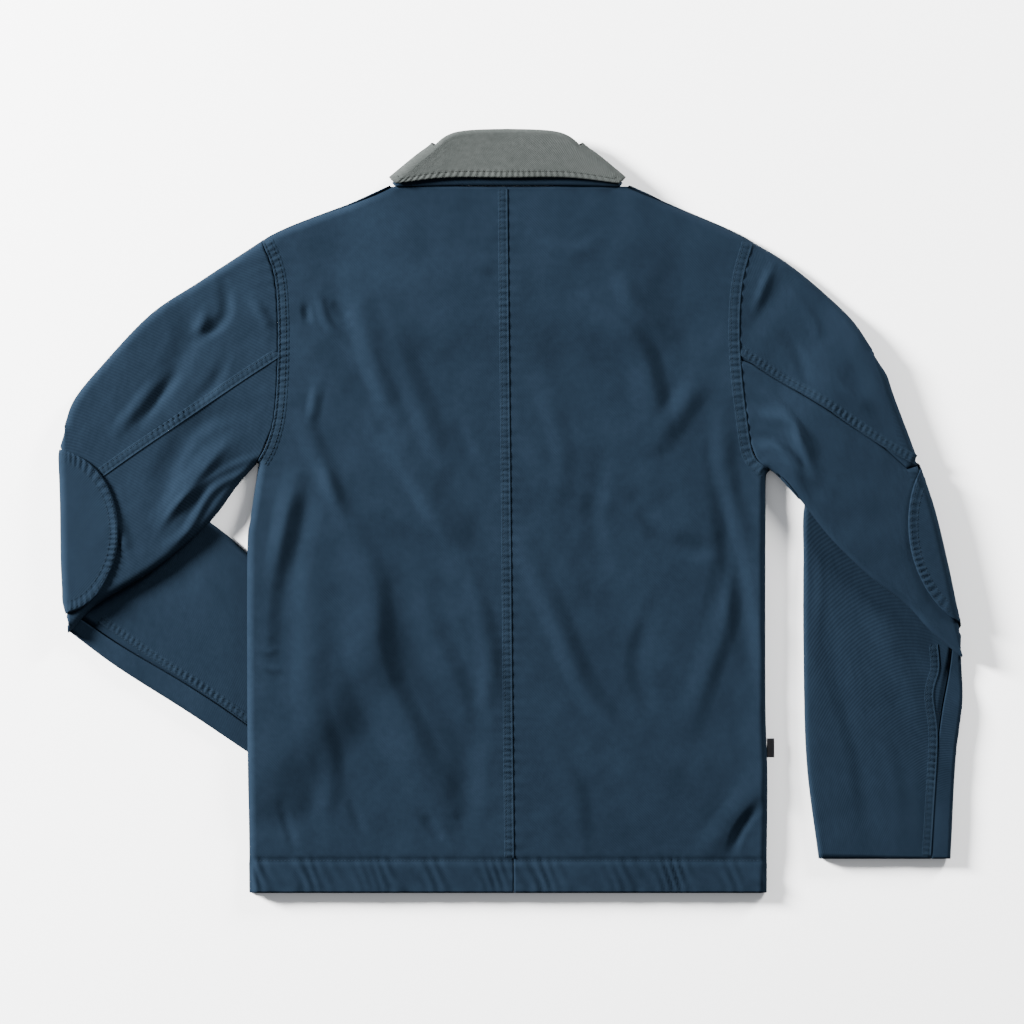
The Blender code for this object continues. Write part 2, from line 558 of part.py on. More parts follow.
def cloth(name, grid, material, wall=TWILL, flip=False, hem=False):
    """A wall of cloth: a flat grid whose points are moved onto the piece's outer face, then thickened
    inwards. The hem of a body panel is turned up, so it is twice as thick."""
    rows, columns = grid.shape[:2]
    bm = bmesh.new()
    bmesh.ops.create_grid(bm, x_segments=columns - 1, y_segments=rows - 1, size=1)
    weights = {}
    for vertex in bm.verts:
        column = round((vertex.co.x + 1) / 2 * (columns - 1))
        row = round((vertex.co.y + 1) / 2 * (rows - 1))
        weights[vertex.index] = 1.0 if hem and row < 2 else wall / HEM_TWILL
        vertex.co = [value * MM for value in grid[row, column]]
    if flip:
        bmesh.ops.reverse_faces(bm, faces=bm.faces)
    mesh = bpy.data.meshes.new(name)
    bm.to_mesh(mesh)
    bm.free()
    mesh.shade_smooth()
    piece = bpy.data.objects.new(name, mesh)
    jacket.objects.link(piece)
    mesh.materials.append(material)
    thickness = piece.vertex_groups.new(name="wall")
    for index, weight in weights.items():
        thickness.add([index], weight, "REPLACE")
    solid = piece.modifiers.new("Wall", "SOLIDIFY")
    solid.thickness = HEM_TWILL * MM
    solid.offset = -1
    solid.vertex_group = "wall"
    return piece


def button(name, x, y, material):
    """A flat button with a sunk face, its face down on the surface."""
    bpy.ops.mesh.primitive_cylinder_add(vertices=16, radius=BUTTON_RADIUS * MM, depth=BUTTON_THICK * MM,
                                        location=(x * MM, y * MM, BUTTON_THICK / 2 * MM))
    piece = bpy.context.object
    piece.name = name
    bevel = piece.modifiers.new("Edge", "BEVEL")
    bevel.width = 0.5 * MM
    bevel.segments = 1
    piece.data.materials.append(material)
    bpy.context.collection.objects.unlink(piece)
    jacket.objects.link(piece)


def label(name, material):
    """A folded loop of tape that stands out of the right side seam."""
    level = rim_height(np.array(LABEL_X), np.array(LABEL_Y), RIGHT) + LABEL_RISE
    bpy.ops.mesh.primitive_cube_add(size=1, location=(LABEL_X * MM, LABEL_Y * MM, level * MM))
    piece = bpy.context.object
    piece.name = name
    piece.dimensions = [size * MM for size in LABEL_SIZE]
    bpy.ops.object.transform_apply(location=False, rotation=False, scale=True)
    bevel = piece.modifiers.new("Edge", "BEVEL")
    bevel.width = 0.3 * MM
    bevel.segments = 1
    piece.data.materials.append(material)
    bpy.context.collection.objects.unlink(piece)
    jacket.objects.link(piece)


for leftover in list(bpy.data.objects):
    bpy.data.objects.remove(leftover)
jacket = bpy.data.collections.new("Deck jacket")
bpy.context.scene.collection.children.link(jacket)

navy = finish_material("Navy twill", (0.022, 0.046, 0.085), 0.85)
grey = finish_material("Grey canvas", (0.20, 0.22, 0.21), 0.9)
tape = finish_material("Black tape", (0.012, 0.012, 0.013), 0.7)
horn = finish_material("Dark button", (0.02, 0.02, 0.025), 0.4)

for arm, side in (("left", LEFT), ("right", RIGHT)):
    prepare(side)
    mirrored = side["sign"] > 0
    cloth(f"back_{arm}", back_grid(side), navy, flip=not mirrored, hem=True)
    cloth(f"front_{arm}", front_grid(side), navy, flip=mirrored, hem=True)
    cloth(f"{arm}_sleeve_top", sleeve_grid(side, False), navy, flip=not mirrored)
    cloth(f"{arm}_sleeve_under", sleeve_grid(side, True), navy, flip=not mirrored)
    cloth(f"{arm}_elbow_patch", patch_grid(side), navy, wall=PATCH_CLOTH, flip=not mirrored)
cloth("collar_top", collar_grid(COLLAR_CLOTH + COLLAR_GAP / 2), grey, wall=COLLAR_CLOTH, flip=False)
cloth("collar_under", collar_grid(-COLLAR_GAP / 2), navy, wall=COLLAR_CLOTH, flip=False)
for number, button_y in enumerate(BUTTON_YS, 1):
    button(f"button_{number}", centre_x(button_y), button_y, horn)
label("side_label", tape)
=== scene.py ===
"""Looks of a deck jacket in heavy navy cotton twill, laid flat on its front with its back up.

Sizes are in millimetres and are written to the meshes in metres. Seen from above, +X is to the
right, +Y runs to the collar and +Z is up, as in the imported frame.
"""
import math
import random

import bpy
import numpy as np
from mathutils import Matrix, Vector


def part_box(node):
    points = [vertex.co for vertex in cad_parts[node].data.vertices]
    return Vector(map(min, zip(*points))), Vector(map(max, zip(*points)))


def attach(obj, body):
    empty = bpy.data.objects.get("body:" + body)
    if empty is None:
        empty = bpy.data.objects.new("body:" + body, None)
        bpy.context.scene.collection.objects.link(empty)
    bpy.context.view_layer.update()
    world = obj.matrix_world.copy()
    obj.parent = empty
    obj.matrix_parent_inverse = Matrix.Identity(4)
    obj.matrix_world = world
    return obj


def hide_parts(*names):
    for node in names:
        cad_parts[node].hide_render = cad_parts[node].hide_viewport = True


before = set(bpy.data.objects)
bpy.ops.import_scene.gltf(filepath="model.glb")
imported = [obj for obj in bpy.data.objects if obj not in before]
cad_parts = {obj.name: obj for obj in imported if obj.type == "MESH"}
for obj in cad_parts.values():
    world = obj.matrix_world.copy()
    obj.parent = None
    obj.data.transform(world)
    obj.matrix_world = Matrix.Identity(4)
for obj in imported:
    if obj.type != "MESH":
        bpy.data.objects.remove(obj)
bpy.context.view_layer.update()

MM = 0.001

# The camera looks straight down, as in the photograph, whose frame is 983 mm wide
FRAME_WIDTH = 983.0
CAMERA_HEIGHT = 3600.0
camera_data = bpy.data.cameras.new("Camera")
camera_data.sensor_width = 36
camera_data.lens = camera_data.sensor_width * CAMERA_HEIGHT / FRAME_WIDTH
camera = bpy.data.objects.new("Camera", camera_data)
camera.location = (0, 0, CAMERA_HEIGHT * MM)
bpy.context.scene.collection.objects.link(camera)
bpy.context.scene.camera = camera

# A white table in soft light from all round, with a strong window light low on the left, which draws
# the folds and throws a soft shadow to the right, and a weaker lamp beyond the collar on the right
FLOOR_WIDTH = 9.0
FLOOR_Z = -0.0004
bpy.ops.mesh.primitive_plane_add(size=FLOOR_WIDTH, location=(0, 0, FLOOR_Z))
floor = bpy.context.object
floor.name = "floor"
paper = bpy.data.materials.new("White table")
paper.use_nodes = True
paper_shader = paper.node_tree.nodes["Principled BSDF"]
paper_shader.inputs["Base Color"].default_value = (0.9, 0.9, 0.9, 1)
paper_shader.inputs["Roughness"].default_value = 0.9
floor.data.materials.append(paper)

sky = bpy.data.worlds.new("Soft light")
sky.use_nodes = True
sky.node_tree.nodes["Background"].inputs["Color"].default_value = (0.93, 0.96, 1.0, 1)
sky.node_tree.nodes["Background"].inputs["Strength"].default_value = 0.50
bpy.context.scene.world = sky

WINDOW = {"place": (-3.5, 1.5, 1.35), "size": 1.0, "power": 2300.0}
KICKER = {"place": (2.4, 2.6, 1.2), "size": 1.0, "power": 480.0}
for name, light in (("Window", WINDOW), ("Kicker", KICKER)):
    lamp_data = bpy.data.lights.new(name, "AREA")
    lamp_data.shape = "DISK"
    lamp_data.size = light["size"]
    lamp_data.energy = light["power"]
    lamp = bpy.data.objects.new(name, lamp_data)
    lamp.location = light["place"]
    towards = -np.array(light["place"])
    lamp.rotation_euler = (
        math.acos(-towards[2] / np.linalg.norm(towards)), 0, math.atan2(-towards[0], towards[1]))
    bpy.context.scene.collection.objects.link(lamp)

# Backs, left and right half
# Two halves of heavy cotton twill, joined down the middle by a felled seam. The hem is turned up
# 31 mm and stitched once. The cloth lies loosely on the fronts, in soft folds and small crumples.
TWILL = 1.3
HEM_TWILL = 2.6
HEM_DEPTH = 31.0
SEAM_GAP = 0.3
BODY_HEIGHT = 10.0
BODY_RIM = 2.2
SLEEVE_RIM = 4.0
FOREARM_PRESSED = 5.6
FOREARM_OPEN = 8.8
OVER_FOREARM = 6.4
PRESSED_MARGIN = 12.0
LIFT_MARGIN = 10.0
LIFT_RAMP = 30.0
ARM_RAMP = 58.0
TURN_HIGH = (OVER_FOREARM + BODY_HEIGHT) / 2
TURN_TIGHT = 0.5
TURN_LOW = TURN_HIGH + TURN_TIGHT - OVER_FOREARM
TURN_RIM = TURN_HIGH + (TURN_HIGH + TURN_TIGHT) / 2 - OVER_FOREARM
TURN_REACH = 25.0
TURN_FLARE = 34.0
UPPER_ROUND = 8.0
HEM_Y = -364.8
NECK_Y = 312.0
BODY_HALF_WIDTH = 250.0
NECK_CENTRE_X = -4.4
HEM_CENTRE_X = 2.0
NECK_HALF_WIDTH = 111.0
NECK_DROP = 80.0
NECK_RISE = 3.4
FALL_LIFT = 6.9
LEAF_MARGIN = 17.0
NECK_SEAM_LIFT = 7.0
SIDE_FOLD_OUTWARD = np.array([0.70, 0.715])
CORNER_RISE = 0.88
CORNER_STATIONS = 5.0
CORNER_ROW = 22.0
CORNER_PASSES = 16
RIM_GAP = 1.3
HEM_RIM_GAP = 2.2
NECK_RIM_GAP = 3.4

# Edges of the laid garment, each row x, y from one end of the edge to the other
LEFT = {
    "sign": -1,
    "side": [(-251.5, -364.8), (-253.4, -200), (-253.4, -39.4), (-250.6, -7.7), (-246.5, 22), (-243, 46)],
    "armhole": [(-239, 261), (-226.5, 228), (-222.7, 185), (-223.4, 130), (-226.5, 92), (-233.5, 66),
                (-243, 46)],
    "shoulder": [(-239, 261), (-213, 273.1), (-174.1, 288), (-143, 299.5), (-115.2, 312)],
    "outer": [(-239, 261), (-299.5, 221.2), (-347.5, 189), (-395.5, 138), (-419, 107), (-427.5, 83.5)],
    "under": [(-243, 46), (-262, 25), (-289.2, -10.2), (-341.8, -54.7), (-397.4, -88.1), (-424, -114)],
    "crease": [(-435.7, 85), (-434.6, 50), (-433.2, 12), (-432.4, -46), (-431, -80), (-432, -115)],
    "fore_outer": [(-427.5, 83.5), (-359, 36.5), (-289.2, -10.2), (-253.4, -39.4), (-208, -82),
                   (-164.2, -135.4)],
    "fore_under": [(-424, -114), (-376.3, -149.8), (-309.1, -193), (-253.4, -230.4), (-237.1, -240)],
    "back_seam": (0.50, 0.42, 0.40),
    "under_seam": (0.90, 0.90, 0.84),
    "forearm_height": 6.4,
    "patch": {"middle": 104.0, "half_length": 79.0, "half_width": 61.6, "shift": 0.0},
}
RIGHT = {
    "sign": 1,
    "side": [(243.8, -364.8), (244.8, -257), (242.9, -180), (242.9, -10), (243.3, 32), (245.8, 39.4)],
    "armhole": [(230.4, 259.2), (220, 222), (216.7, 180.5), (218.5, 135), (223.6, 90), (230, 54),
                (245.8, 39.4)],
    "shoulder": [(230.4, 259.2), (205, 271.5), (166, 288), (136, 301), (107, 313.5)],
    "outer": [(230.4, 259.2), (262.1, 240), (295.7, 213.1), (325.5, 184), (344.2, 156)],
    "under": [(245.8, 39.4), (254, 35), (263, 26.5), (281.3, 3.8), (306.2, -26.9), (342.7, -61.4),
              (378.2, -87.4), (402.2, -112), (430.8, -135)],
    "crease": [(351.8, 159), (363.5, 118), (379, 76), (402.5, 11.5), (417, -46), (428.5, -100),
               (438.6, -137)],
    "fore_outer": [(344.2, 156), (303.4, 78.7), (281.3, 11.5), (279.4, -46), (279.4, -132.5),
                   (282.2, -238), (293.8, -332.2)],
    "fore_under": [(430.8, -135), (432, -180.5), (425.3, -238), (420.5, -332.2)],
    "back_seam": (0.50, 0.39, 0.38),
    "under_seam": (0.90, 0.91, 0.85),
    "forearm_height": FOREARM_OPEN,
    "patch": {"middle": 200.0, "half_length": 86.0, "half_width": 61.6, "shift": -24.0},
}

# The folds that the solids have too: how wide each is to the left and to the right of the line it
# runs along, how high it stands (a trough is negative), and the line
FOLDS = [
    (34, 24, -1.8, [(-212, 267), (-122, 228), (-66, 147)]),
    (22, 18, 3.4, [(-155, 222), (-138, 166), (-115, 95)]),
    (14, 24, -2.4, [(-181, 169), (-145, 127), (-122, 88)]),
    (20, 16, 3.0, [(-122, 173), (-92, 110), (-66, 46)]),
    (30, 16, 4.4, [(-129, 75), (-96, 36), (-70, -6), (-42, -41)]),
    (16, 16, 2.6, [(-207, 31), (-217, -13), (-224, -63)]),
    (22, 16, -2.2, [(-190, 40), (-216, -70), (-221, -171)]),
    (20, 36, 4.6, [(-150, -27), (-133, -70), (-127, -138), (-99, -205), (-59, -282)]),
    (22, 22, -2.2, [(-112, -40), (-86, -144), (-45, -225), (-50, -322)]),
    (18, 16, 3.6, [(8, -30), (42, -104), (79, -185), (150, -249), (197, -290)]),
    (18, 26, 4.0, [(73, 199), (118, 163), (134, 117), (141, 69)]),
    (18, 18, 2.8, [(141, 69), (164, 101), (180, 127)]),
    (30, 34, -2.0, [(128, 232), (165, 190), (195, 150)]),
    (16, 14, 2.6, [(200, 88), (203, 36), (216, -6), (227, -40)]),
    (14, 18, -2.4, [(203, 14), (216, -60), (234, -171)]),
    (16, 22, 1.9, [(200, -36), (207, -87), (187, -155), (168, -210)]),
    (18, 18, 2.0, [(238, -255), (210, -296), (180, -330)]),
    (16, 14, -2.2, [(120, 10), (140, -20), (170, -36), (198, -33)]),
    (18, 14, 3.0, [(-262, 70), (-300, 40), (-333, -10)]),
    (12, 20, -2.2, [(-250, 99), (-304, 79), (-342, 5)]),
    (16, 20, -2.0, [(-314, 203), (-312, 158), (-352, 95)]),
    (14, 14, 2.4, [(233, 94), (268, 83), (290, 40)]),
    (18, 16, -1.2, [(268, 232), (229, 173), (222, 160)]),
    (24, 24, -1.8, [(300, 160), (350, 112)]),
]

# Smaller creases that only the looks have, in the same columns
CREASES = [
    (7, 7, -1.3, [(-198, 199), (-195, 182)]),
    (8, 8, -1.4, [(-174, 201), (-155, 185)]),
    (7, 8, 1.2, [(-186, 208), (-176, 180), (-160, 166)]),
    (10, 8, 1.3, [(-187, 121), (-193, 85)]),
    (10, 10, 1.4, [(-182, 43), (-164, 4)]),
    (9, 7, -0.8, [(-221, -282), (-207, -324)]),
    (8, 8, -0.7, [(-156, -273), (-143, -306)]),
    (9, 9, -1.4, [(-86, -289), (-65, -316)]),
    (9, 8, -1.7, [(237, -279), (218, -304), (210, -326)]),
    (5, 5, 0.5, [(-247, -127), (-236, -134), (-222, -131)]),
    (5, 7, 0.6, [(-246, -140), (-234, -149), (-216, -151)]),
    (4, 4, 0.4, [(-244, -112), (-233, -119), (-228, -122)]),
    (9, 9, 1.5, [(-293, 193), (-300, 170)]),
    (8, 10, -1.6, [(-275, 222), (-275, 186), (-304, 163)]),
    (8, 8, 1.5, [(-249, 205), (-230, 174)]),
    (10, 10, 1.5, [(-336, 131), (-378, 76)]),
    (8, 8, -1.4, [(-320, 134), (-356, 85)]),
    (8, 10, 1.3, [(-378, -6), (-366, -38)]),
    (7, 7, 1.2, [(-275, 63), (-330, -6)]),
    (7, 7, 1.3, [(249, 235), (232, 192)]),
    (7, 7, 1.3, [(232, 94), (268, 83), (288, 43)]),
    (6, 6, -1.4, [(232, 75), (268, 63), (283, 36)]),
    (6, 7, 1.2, [(232, 67), (252, 52), (268, 39), (283, 16)]),
    (12, 12, 0.8, [(-60, 250), (-30, 236), (-12, 240)]),
    (10, 14, 0.7, [(20, 262), (58, 250), (84, 262)]),
    (16, 14, 0.9, [(30, 120), (48, 60), (44, 10)]),
    (14, 16, -0.9, [(88, 52), (78, -12), (96, -66)]),
    (16, 14, -1.0, [(132, -96), (120, -150), (136, -196)]),
    (14, 18, 1.0, [(24, -214), (60, -262), (66, -322)]),
    (14, 16, 1.1, [(-186, -186), (-172, -244), (-182, -300)]),
    (13, 12, 0.9, [(-40, -90), (-24, -150), (-30, -200)]),
    (11, 12, -0.8, [(-56, 96), (-38, 50), (-18, 20)]),
    (6, 8, 1.5, [(-251, 40), (-285, 21), (-309, -17), (-328, -32)]),
    (7, 6, 1.1, [(-240, 55), (-275, 40), (-314, 12), (-338, -17)]),
    (8, 10, -1.0, [(-272, 150), (-286, 122), (-312, 96)]),
    (6, 8, 1.5, [(230, 122), (252, 107), (272, 83), (276, 55)]),
    (6, 7, 1.6, [(233, 58), (252, 62), (276, 40), (305, 21)]),
    (7, 9, 1.2, [(310, 124), (330, 108), (346, 99)]),
    (9, 10, -1.1, [(256, 176), (274, 152), (284, 120)]),
    (8, 9, 0.9, [(262, 214), (286, 188), (296, 160)]),
    (14, 16, 1.5, [(-208, 107), (-175, 31), (-155, -8)]),
    (12, 18, -1.5, [(-117, -8), (-82, -36), (-50, -65)]),
    (14, 22, 1.5, [(3, 79), (46, 31), (104, 2), (152, -27)]),
    (12, 16, -1.2, [(195, 60), (204, -36), (190, -123)]),
    (22, 20, 1.0, [(-189, -75), (-194, -190), (-176, -260)]),
    (14, 22, -0.5, [(-170, -113), (-146, -190), (-107, -267)]),
    (14, 16, -0.5, [(-237, -190), (-194, -267), (-184, -315)]),
    (12, 14, 1.2, [(-40, -56), (-21, -123), (-12, -190)]),
    (14, 16, -1.3, [(-69, -94), (-36, -171), (-31, -228)]),
    (20, 26, -1.0, [(60, -20), (104, -96), (150, -150)]),
    (16, 14, 1.3, [(100, 232), (118, 196), (150, 172)]),
    (24, 20, -0.9, [(20, 190), (60, 120), (96, 70)]),
]

# Along the hem the turned-up edge pulls the cloth into slanted puckers
HEM_PUCKER_PITCH = 12.5
HEM_PUCKER_SLANT = 0.55
HEM_PUCKER_DEPTH = 0.95
HEM_STITCH_DIP = 1.2
CRUMPLE_DEPTH = 0.17
CREASE_DEPTH = 1.4


def smooth(share):
    """0 to 1 with a soft start and end."""
    t = np.clip(share, 0, 1)
    return t * t * (3 - 2 * t)


def roll(distance, width):
    """A quarter round: 0 at the edge, 1 from the width inwards."""
    return np.sqrt(1 - (1 - np.clip(distance / width, 0, 1)) ** 2)


def curve_through(points, steps=8):
    """A smooth line through the points, as a dense array of x and y."""
    p = np.array(points, float)
    p = np.vstack([2 * p[0] - p[1], p, 2 * p[-1] - p[-2]])
    line = []
    for a, b, c, d in zip(p, p[1:], p[2:], p[3:]):
        for t in np.arange(steps) / steps:
            cubic = (2 * b + (c - a) * t + (2 * a - 5 * b + 4 * c - d) * t ** 2
                     + (3 * b - a - 3 * c + d) * t ** 3)
            line.append(cubic / 2)
    line.append(p[-2])
    return np.array(line)


def run_of(line):
    """The length along a line at each of its points."""
    return np.append(0, np.cumsum(np.hypot(*np.diff(line, axis=0).T)))


def along(line, share):
    """The points at these shares of a line's length."""
    run = run_of(line)
    at = np.asarray(share) * run[-1]
    return np.stack([np.interp(at, run, line[:, 0]), np.interp(at, run, line[:, 1])], -1)


def nearest(x, y, line):
    """Distance from each point to a line, the length along the line there, and the side."""
    ax, ay = line[:-1].T
    ex, ey = np.diff(line, axis=0).T
    px = np.asarray(x)[..., None] - ax
    py = np.asarray(y)[..., None] - ay
    t = np.clip((px * ex + py * ey) / np.maximum(ex ** 2 + ey ** 2, 1e-9), 0, 1)
    gap = np.hypot(px - t * ex, py - t * ey)
    best = gap.argmin(-1)[..., None]
    pick = lambda values: np.take_along_axis(values, best, -1)[..., 0]
    return pick(gap), pick(run_of(line)[:-1] + t * np.hypot(ex, ey)), pick(np.sign(ex * py - ey * px))


def reach(x, y, outline):
    """Distance outside a closed outline, 0 inside it."""
    ring = np.vstack([outline, outline[:1]])
    ax, ay = ring[:-1].T
    bx, by = ring[1:].T
    px = np.asarray(x)[..., None]
    py = np.asarray(y)[..., None]
    with np.errstate(divide="ignore", invalid="ignore"):
        crosses = ((ay > py) != (by > py)) & (px < (bx - ax) * (py - ay) / (by - ay) + ax)
    inside = crosses.sum(-1) % 2 == 1
    return np.where(inside, 0, nearest(x, y, ring)[0])


def fold_height(x, y, folds):
    """The sum of the folds at each point: soft ridges and troughs that fade at both ends."""
    height = np.zeros(np.shape(x))
    for left, right, fold_top, path in folds:
        line = curve_through(path, 5)
        gap, at, side = nearest(x, y, line)
        width = np.where(side > 0, left, right)
        share = at / run_of(line)[-1]
        fade = 0.25 + 0.75 * smooth(4 * share * (1 - share))
        height = height + fold_top * smooth(1 - gap / width) * fade
    return height


def crumple(x, y):
    """Small uneven waves of cloth that has been worn and laid down, some 15 to 60 mm long."""
    waves = np.zeros(np.shape(x))
    draw = random.Random(14)
    for wave in range(16):
        heading = draw.uniform(0, math.pi)
        length = draw.uniform(17, 60)
        start = draw.uniform(0, 2 * math.pi)
        bend = draw.uniform(-18, 18)
        across = x * math.cos(heading) + y * math.sin(heading)
        beside = y * math.cos(heading) - x * math.sin(heading)
        swung = across + bend * np.sin(beside / 47 + start)
        waves = waves + np.sin(2 * math.pi * swung / length + start) * length / 60
    return CRUMPLE_DEPTH * waves / 2


def prepare(side):
    """Turns a side's rows into smooth lines and outlines."""
    for name in ("side", "armhole", "shoulder", "outer", "under", "crease", "fore_outer", "fore_under"):
        side[name] = curve_through(side[name])
    crease = side["crease"]
    step = np.gradient(crease, axis=0)
    outward = np.stack([step[:, 1], -step[:, 0]], -1) / np.hypot(*step.T)[:, None]
    outward *= np.sign(outward[:, :1]) * side["sign"]
    side["turn_line"] = crease - TURN_HIGH * outward
    side["outward"] = outward
    for name, end in (("outer", 0), ("under", -1)):
        drift = side["turn_line"][end] - side[name][-1]
        side[name] = side[name] + drift * smooth(np.linspace(-1, 1, len(side[name])))[:, None]
    for name, end in (("fore_outer", 0), ("fore_under", -1)):
        drift = side["turn_line"][end] - side[name][0]
        side[name] = side[name] + drift * smooth(np.linspace(1, -1, len(side[name])))[:, None]
    side["top_rim"] = np.vstack([side["shoulder"][::-1], side["outer"]])
    side["low_rim"] = np.vstack([side["side"], side["under"]])
    side["forearm"] = np.vstack([side["fore_outer"], side["fore_under"][::-1], side["turn_line"][::-1]])
    side["upper_arm"] = np.vstack([side["outer"], side["turn_line"], side["under"][::-1],
                                   side["armhole"][::-1]])
    side["body"] = np.vstack([side["side"], side["armhole"][::-1], side["shoulder"],
                              [(0, NECK_Y), (0, HEM_Y)]])


def centre_x(y):
    """The centre back seam, which drifts a little from the hem to the neck."""
    return HEM_CENTRE_X + (NECK_CENTRE_X - HEM_CENTRE_X) * (y - HEM_Y) / (NECK_Y - HEM_Y)


# The collar's side fold, front seam and front edge, which lie under the fronts and raise them
COLLAR_TURN = [(107, 311), (68, 346.5), (107, 314)]
COLLAR_FRONT = [[(97, 280), (66, 249), (5, 233.5)], [(59, 330), (38, 298), (5, 264)],
                [(112, 285), (94, 232), (46, 190)]]


def collar_lift(x, y):
    """How far the front's shoulders are raised by the collar that lies under them."""
    leaf = np.vstack([[COLLAR_TURN[2]], COLLAR_FRONT[2], COLLAR_FRONT[0][::-1], [COLLAR_TURN[0]]])
    px = np.abs(x - NECK_CENTRE_X)
    neck = np.hypot(px / NECK_HALF_WIDTH, (NECK_Y - y) / NECK_DROP)
    over_leaf = FALL_LIFT * smooth(1 - (reach(px, y, leaf) - LEAF_MARGIN) / LIFT_RAMP)
    at_neck = (NECK_SEAM_LIFT - FALL_LIFT) * smooth(1 - (neck - 1) / 0.18)
    return over_leaf + at_neck * np.sign(over_leaf)


def arm_lift(x, y, side):
    """How far the upper arm and the body are raised by the forearm that lies under them."""
    return OVER_FOREARM * smooth(1 - (reach(x, y, side["forearm"]) - LIFT_MARGIN) / ARM_RAMP)


def rim_gaps(x, y, side):
    """Distance from each point to the outline, above and below the elbow."""
    return np.minimum(nearest(x, y, side["top_rim"])[0], nearest(x, y, side["low_rim"])[0])


def rim_height(x, y, side):
    """The height of the outline edge, where the upper and the lower cloth meet."""
    near_turn = smooth(1 - nearest(x, y, side["turn_line"])[0] / TURN_REACH)
    sleeve = smooth((side["sign"] * x - BODY_HALF_WIDTH) / 45)
    edge = BODY_RIM + (SLEEVE_RIM - BODY_RIM) * sleeve
    edge = edge + (TURN_RIM - edge) * near_turn
    return edge + arm_lift(x, y, side) + collar_lift(x, y)


def upper_height(x, y, side):
    """The outer face of the back and of the upper arm's back."""
    near_neck = NECK_RISE * smooth((y - 130) / 60) * smooth((170 - np.abs(x)) / 60)
    near_turn = smooth(1 - nearest(x, y, side["turn_line"])[0] / TURN_REACH)
    creases = CREASE_DEPTH * fold_height(x, y, CREASES) + crumple(x, y)
    folds = (fold_height(x, y, FOLDS) + creases) * (1 - near_turn)
    top = arm_lift(x, y, side) + BODY_HEIGHT + near_neck + folds
    rim = rim_height(x, y, side)
    return rim + (top - rim) * roll(rim_gaps(x, y, side), UPPER_ROUND)


def rim_gap(x, y, side):
    """How far a panel's edge row stands off the outline edge: more where the wall is double, and at
    the neck end of the shoulder."""
    row_y = y[:, -1]
    gap = RIM_GAP + (HEM_RIM_GAP - RIM_GAP) * smooth((HEM_Y + HEM_DEPTH + 8 - row_y) / 4)
    gap = gap + (NECK_RIM_GAP - RIM_GAP) * smooth((row_y - NECK_Y + 30) / 15)
    return gap * (1 - roll(rim_gaps(x, y, side)[:, -1], 2))


def hem_puckers(x, y):
    """Slanted puckers across the turned-up hem, pulled in along its one row of stitches."""
    above = y - HEM_Y
    drift = 6 * np.sin(x / 23) + 4 * np.sin(x / 9.1 + 2)
    phase = (x + HEM_PUCKER_SLANT * above + drift) / HEM_PUCKER_PITCH
    in_hem = smooth(above / 6) * smooth((HEM_DEPTH + 5 - above) / 9)
    dip = HEM_STITCH_DIP * np.exp(-((above - HEM_DEPTH) / 2.2) ** 2)
    strength = 0.25 + 0.75 * np.abs(np.sin(x / 37 + 1) * np.sin(x / 14.3))
    return HEM_PUCKER_DEPTH * strength * np.sin(2 * math.pi * phase) * in_hem - dip


def seam_waves(gap, at, depth=0.26, pitch=11.0, spread=9.0):
    """Waves that a tight seam leaves in the cloth beside it, dying away from the seam."""
    return depth * np.exp(-gap / spread) * np.sin(2 * math.pi * at / pitch + 1.3 * np.sin(at / 31))


def back_surface(x, y, side):
    """The back's outer face, with the hem's and the seams' puckers."""
    z = upper_height(x, y, side)
    beside_centre = np.abs(x - centre_x(y))
    beside_armhole, armhole_at, _ = nearest(x, y, side["armhole"])
    inside = roll(rim_gaps(x, y, side), UPPER_ROUND)
    waves = seam_waves(beside_centre, y) + seam_waves(beside_armhole, armhole_at) + hem_puckers(x, y)
    return z + waves * inside


def edge_x(side, y):
    """The body's outline or armhole at each height, from the hem to the neck."""
    line = np.vstack([side["side"], side["armhole"][::-1][1:], side["shoulder"][1:]])
    return np.interp(y, np.maximum.accumulate(line[:, 1]), line[:, 0])


BACK_STEP = 2.6
BACK_COLUMNS = 132


def spaced(count, tight_end):
    """Shares from 0 to 1, drawn together at the far end, where the cloth turns over the edge."""
    t = np.linspace(0, 1, count)
    return t + tight_end * np.sin(math.pi * t) * t * 0.6


def back_grid(side):
    """One half of the back: from the centre seam to the side and the armhole."""
    rows = int((NECK_Y - HEM_Y) / BACK_STEP)
    y = np.linspace(HEM_Y, NECK_Y - 2 * SEAM_GAP, rows)[:, None]
    inner = centre_x(y) + side["sign"] * SEAM_GAP / 2
    x = inner + (edge_x(side, y) - inner) * spaced(BACK_COLUMNS, 0.30)
    y = y + 0 * x
    z = back_surface(x, y, side)
    z[:, -2:] += rim_gap(x, y, side)[:, None] * (0.5, 1)
    return np.stack([x, y, z], -1)


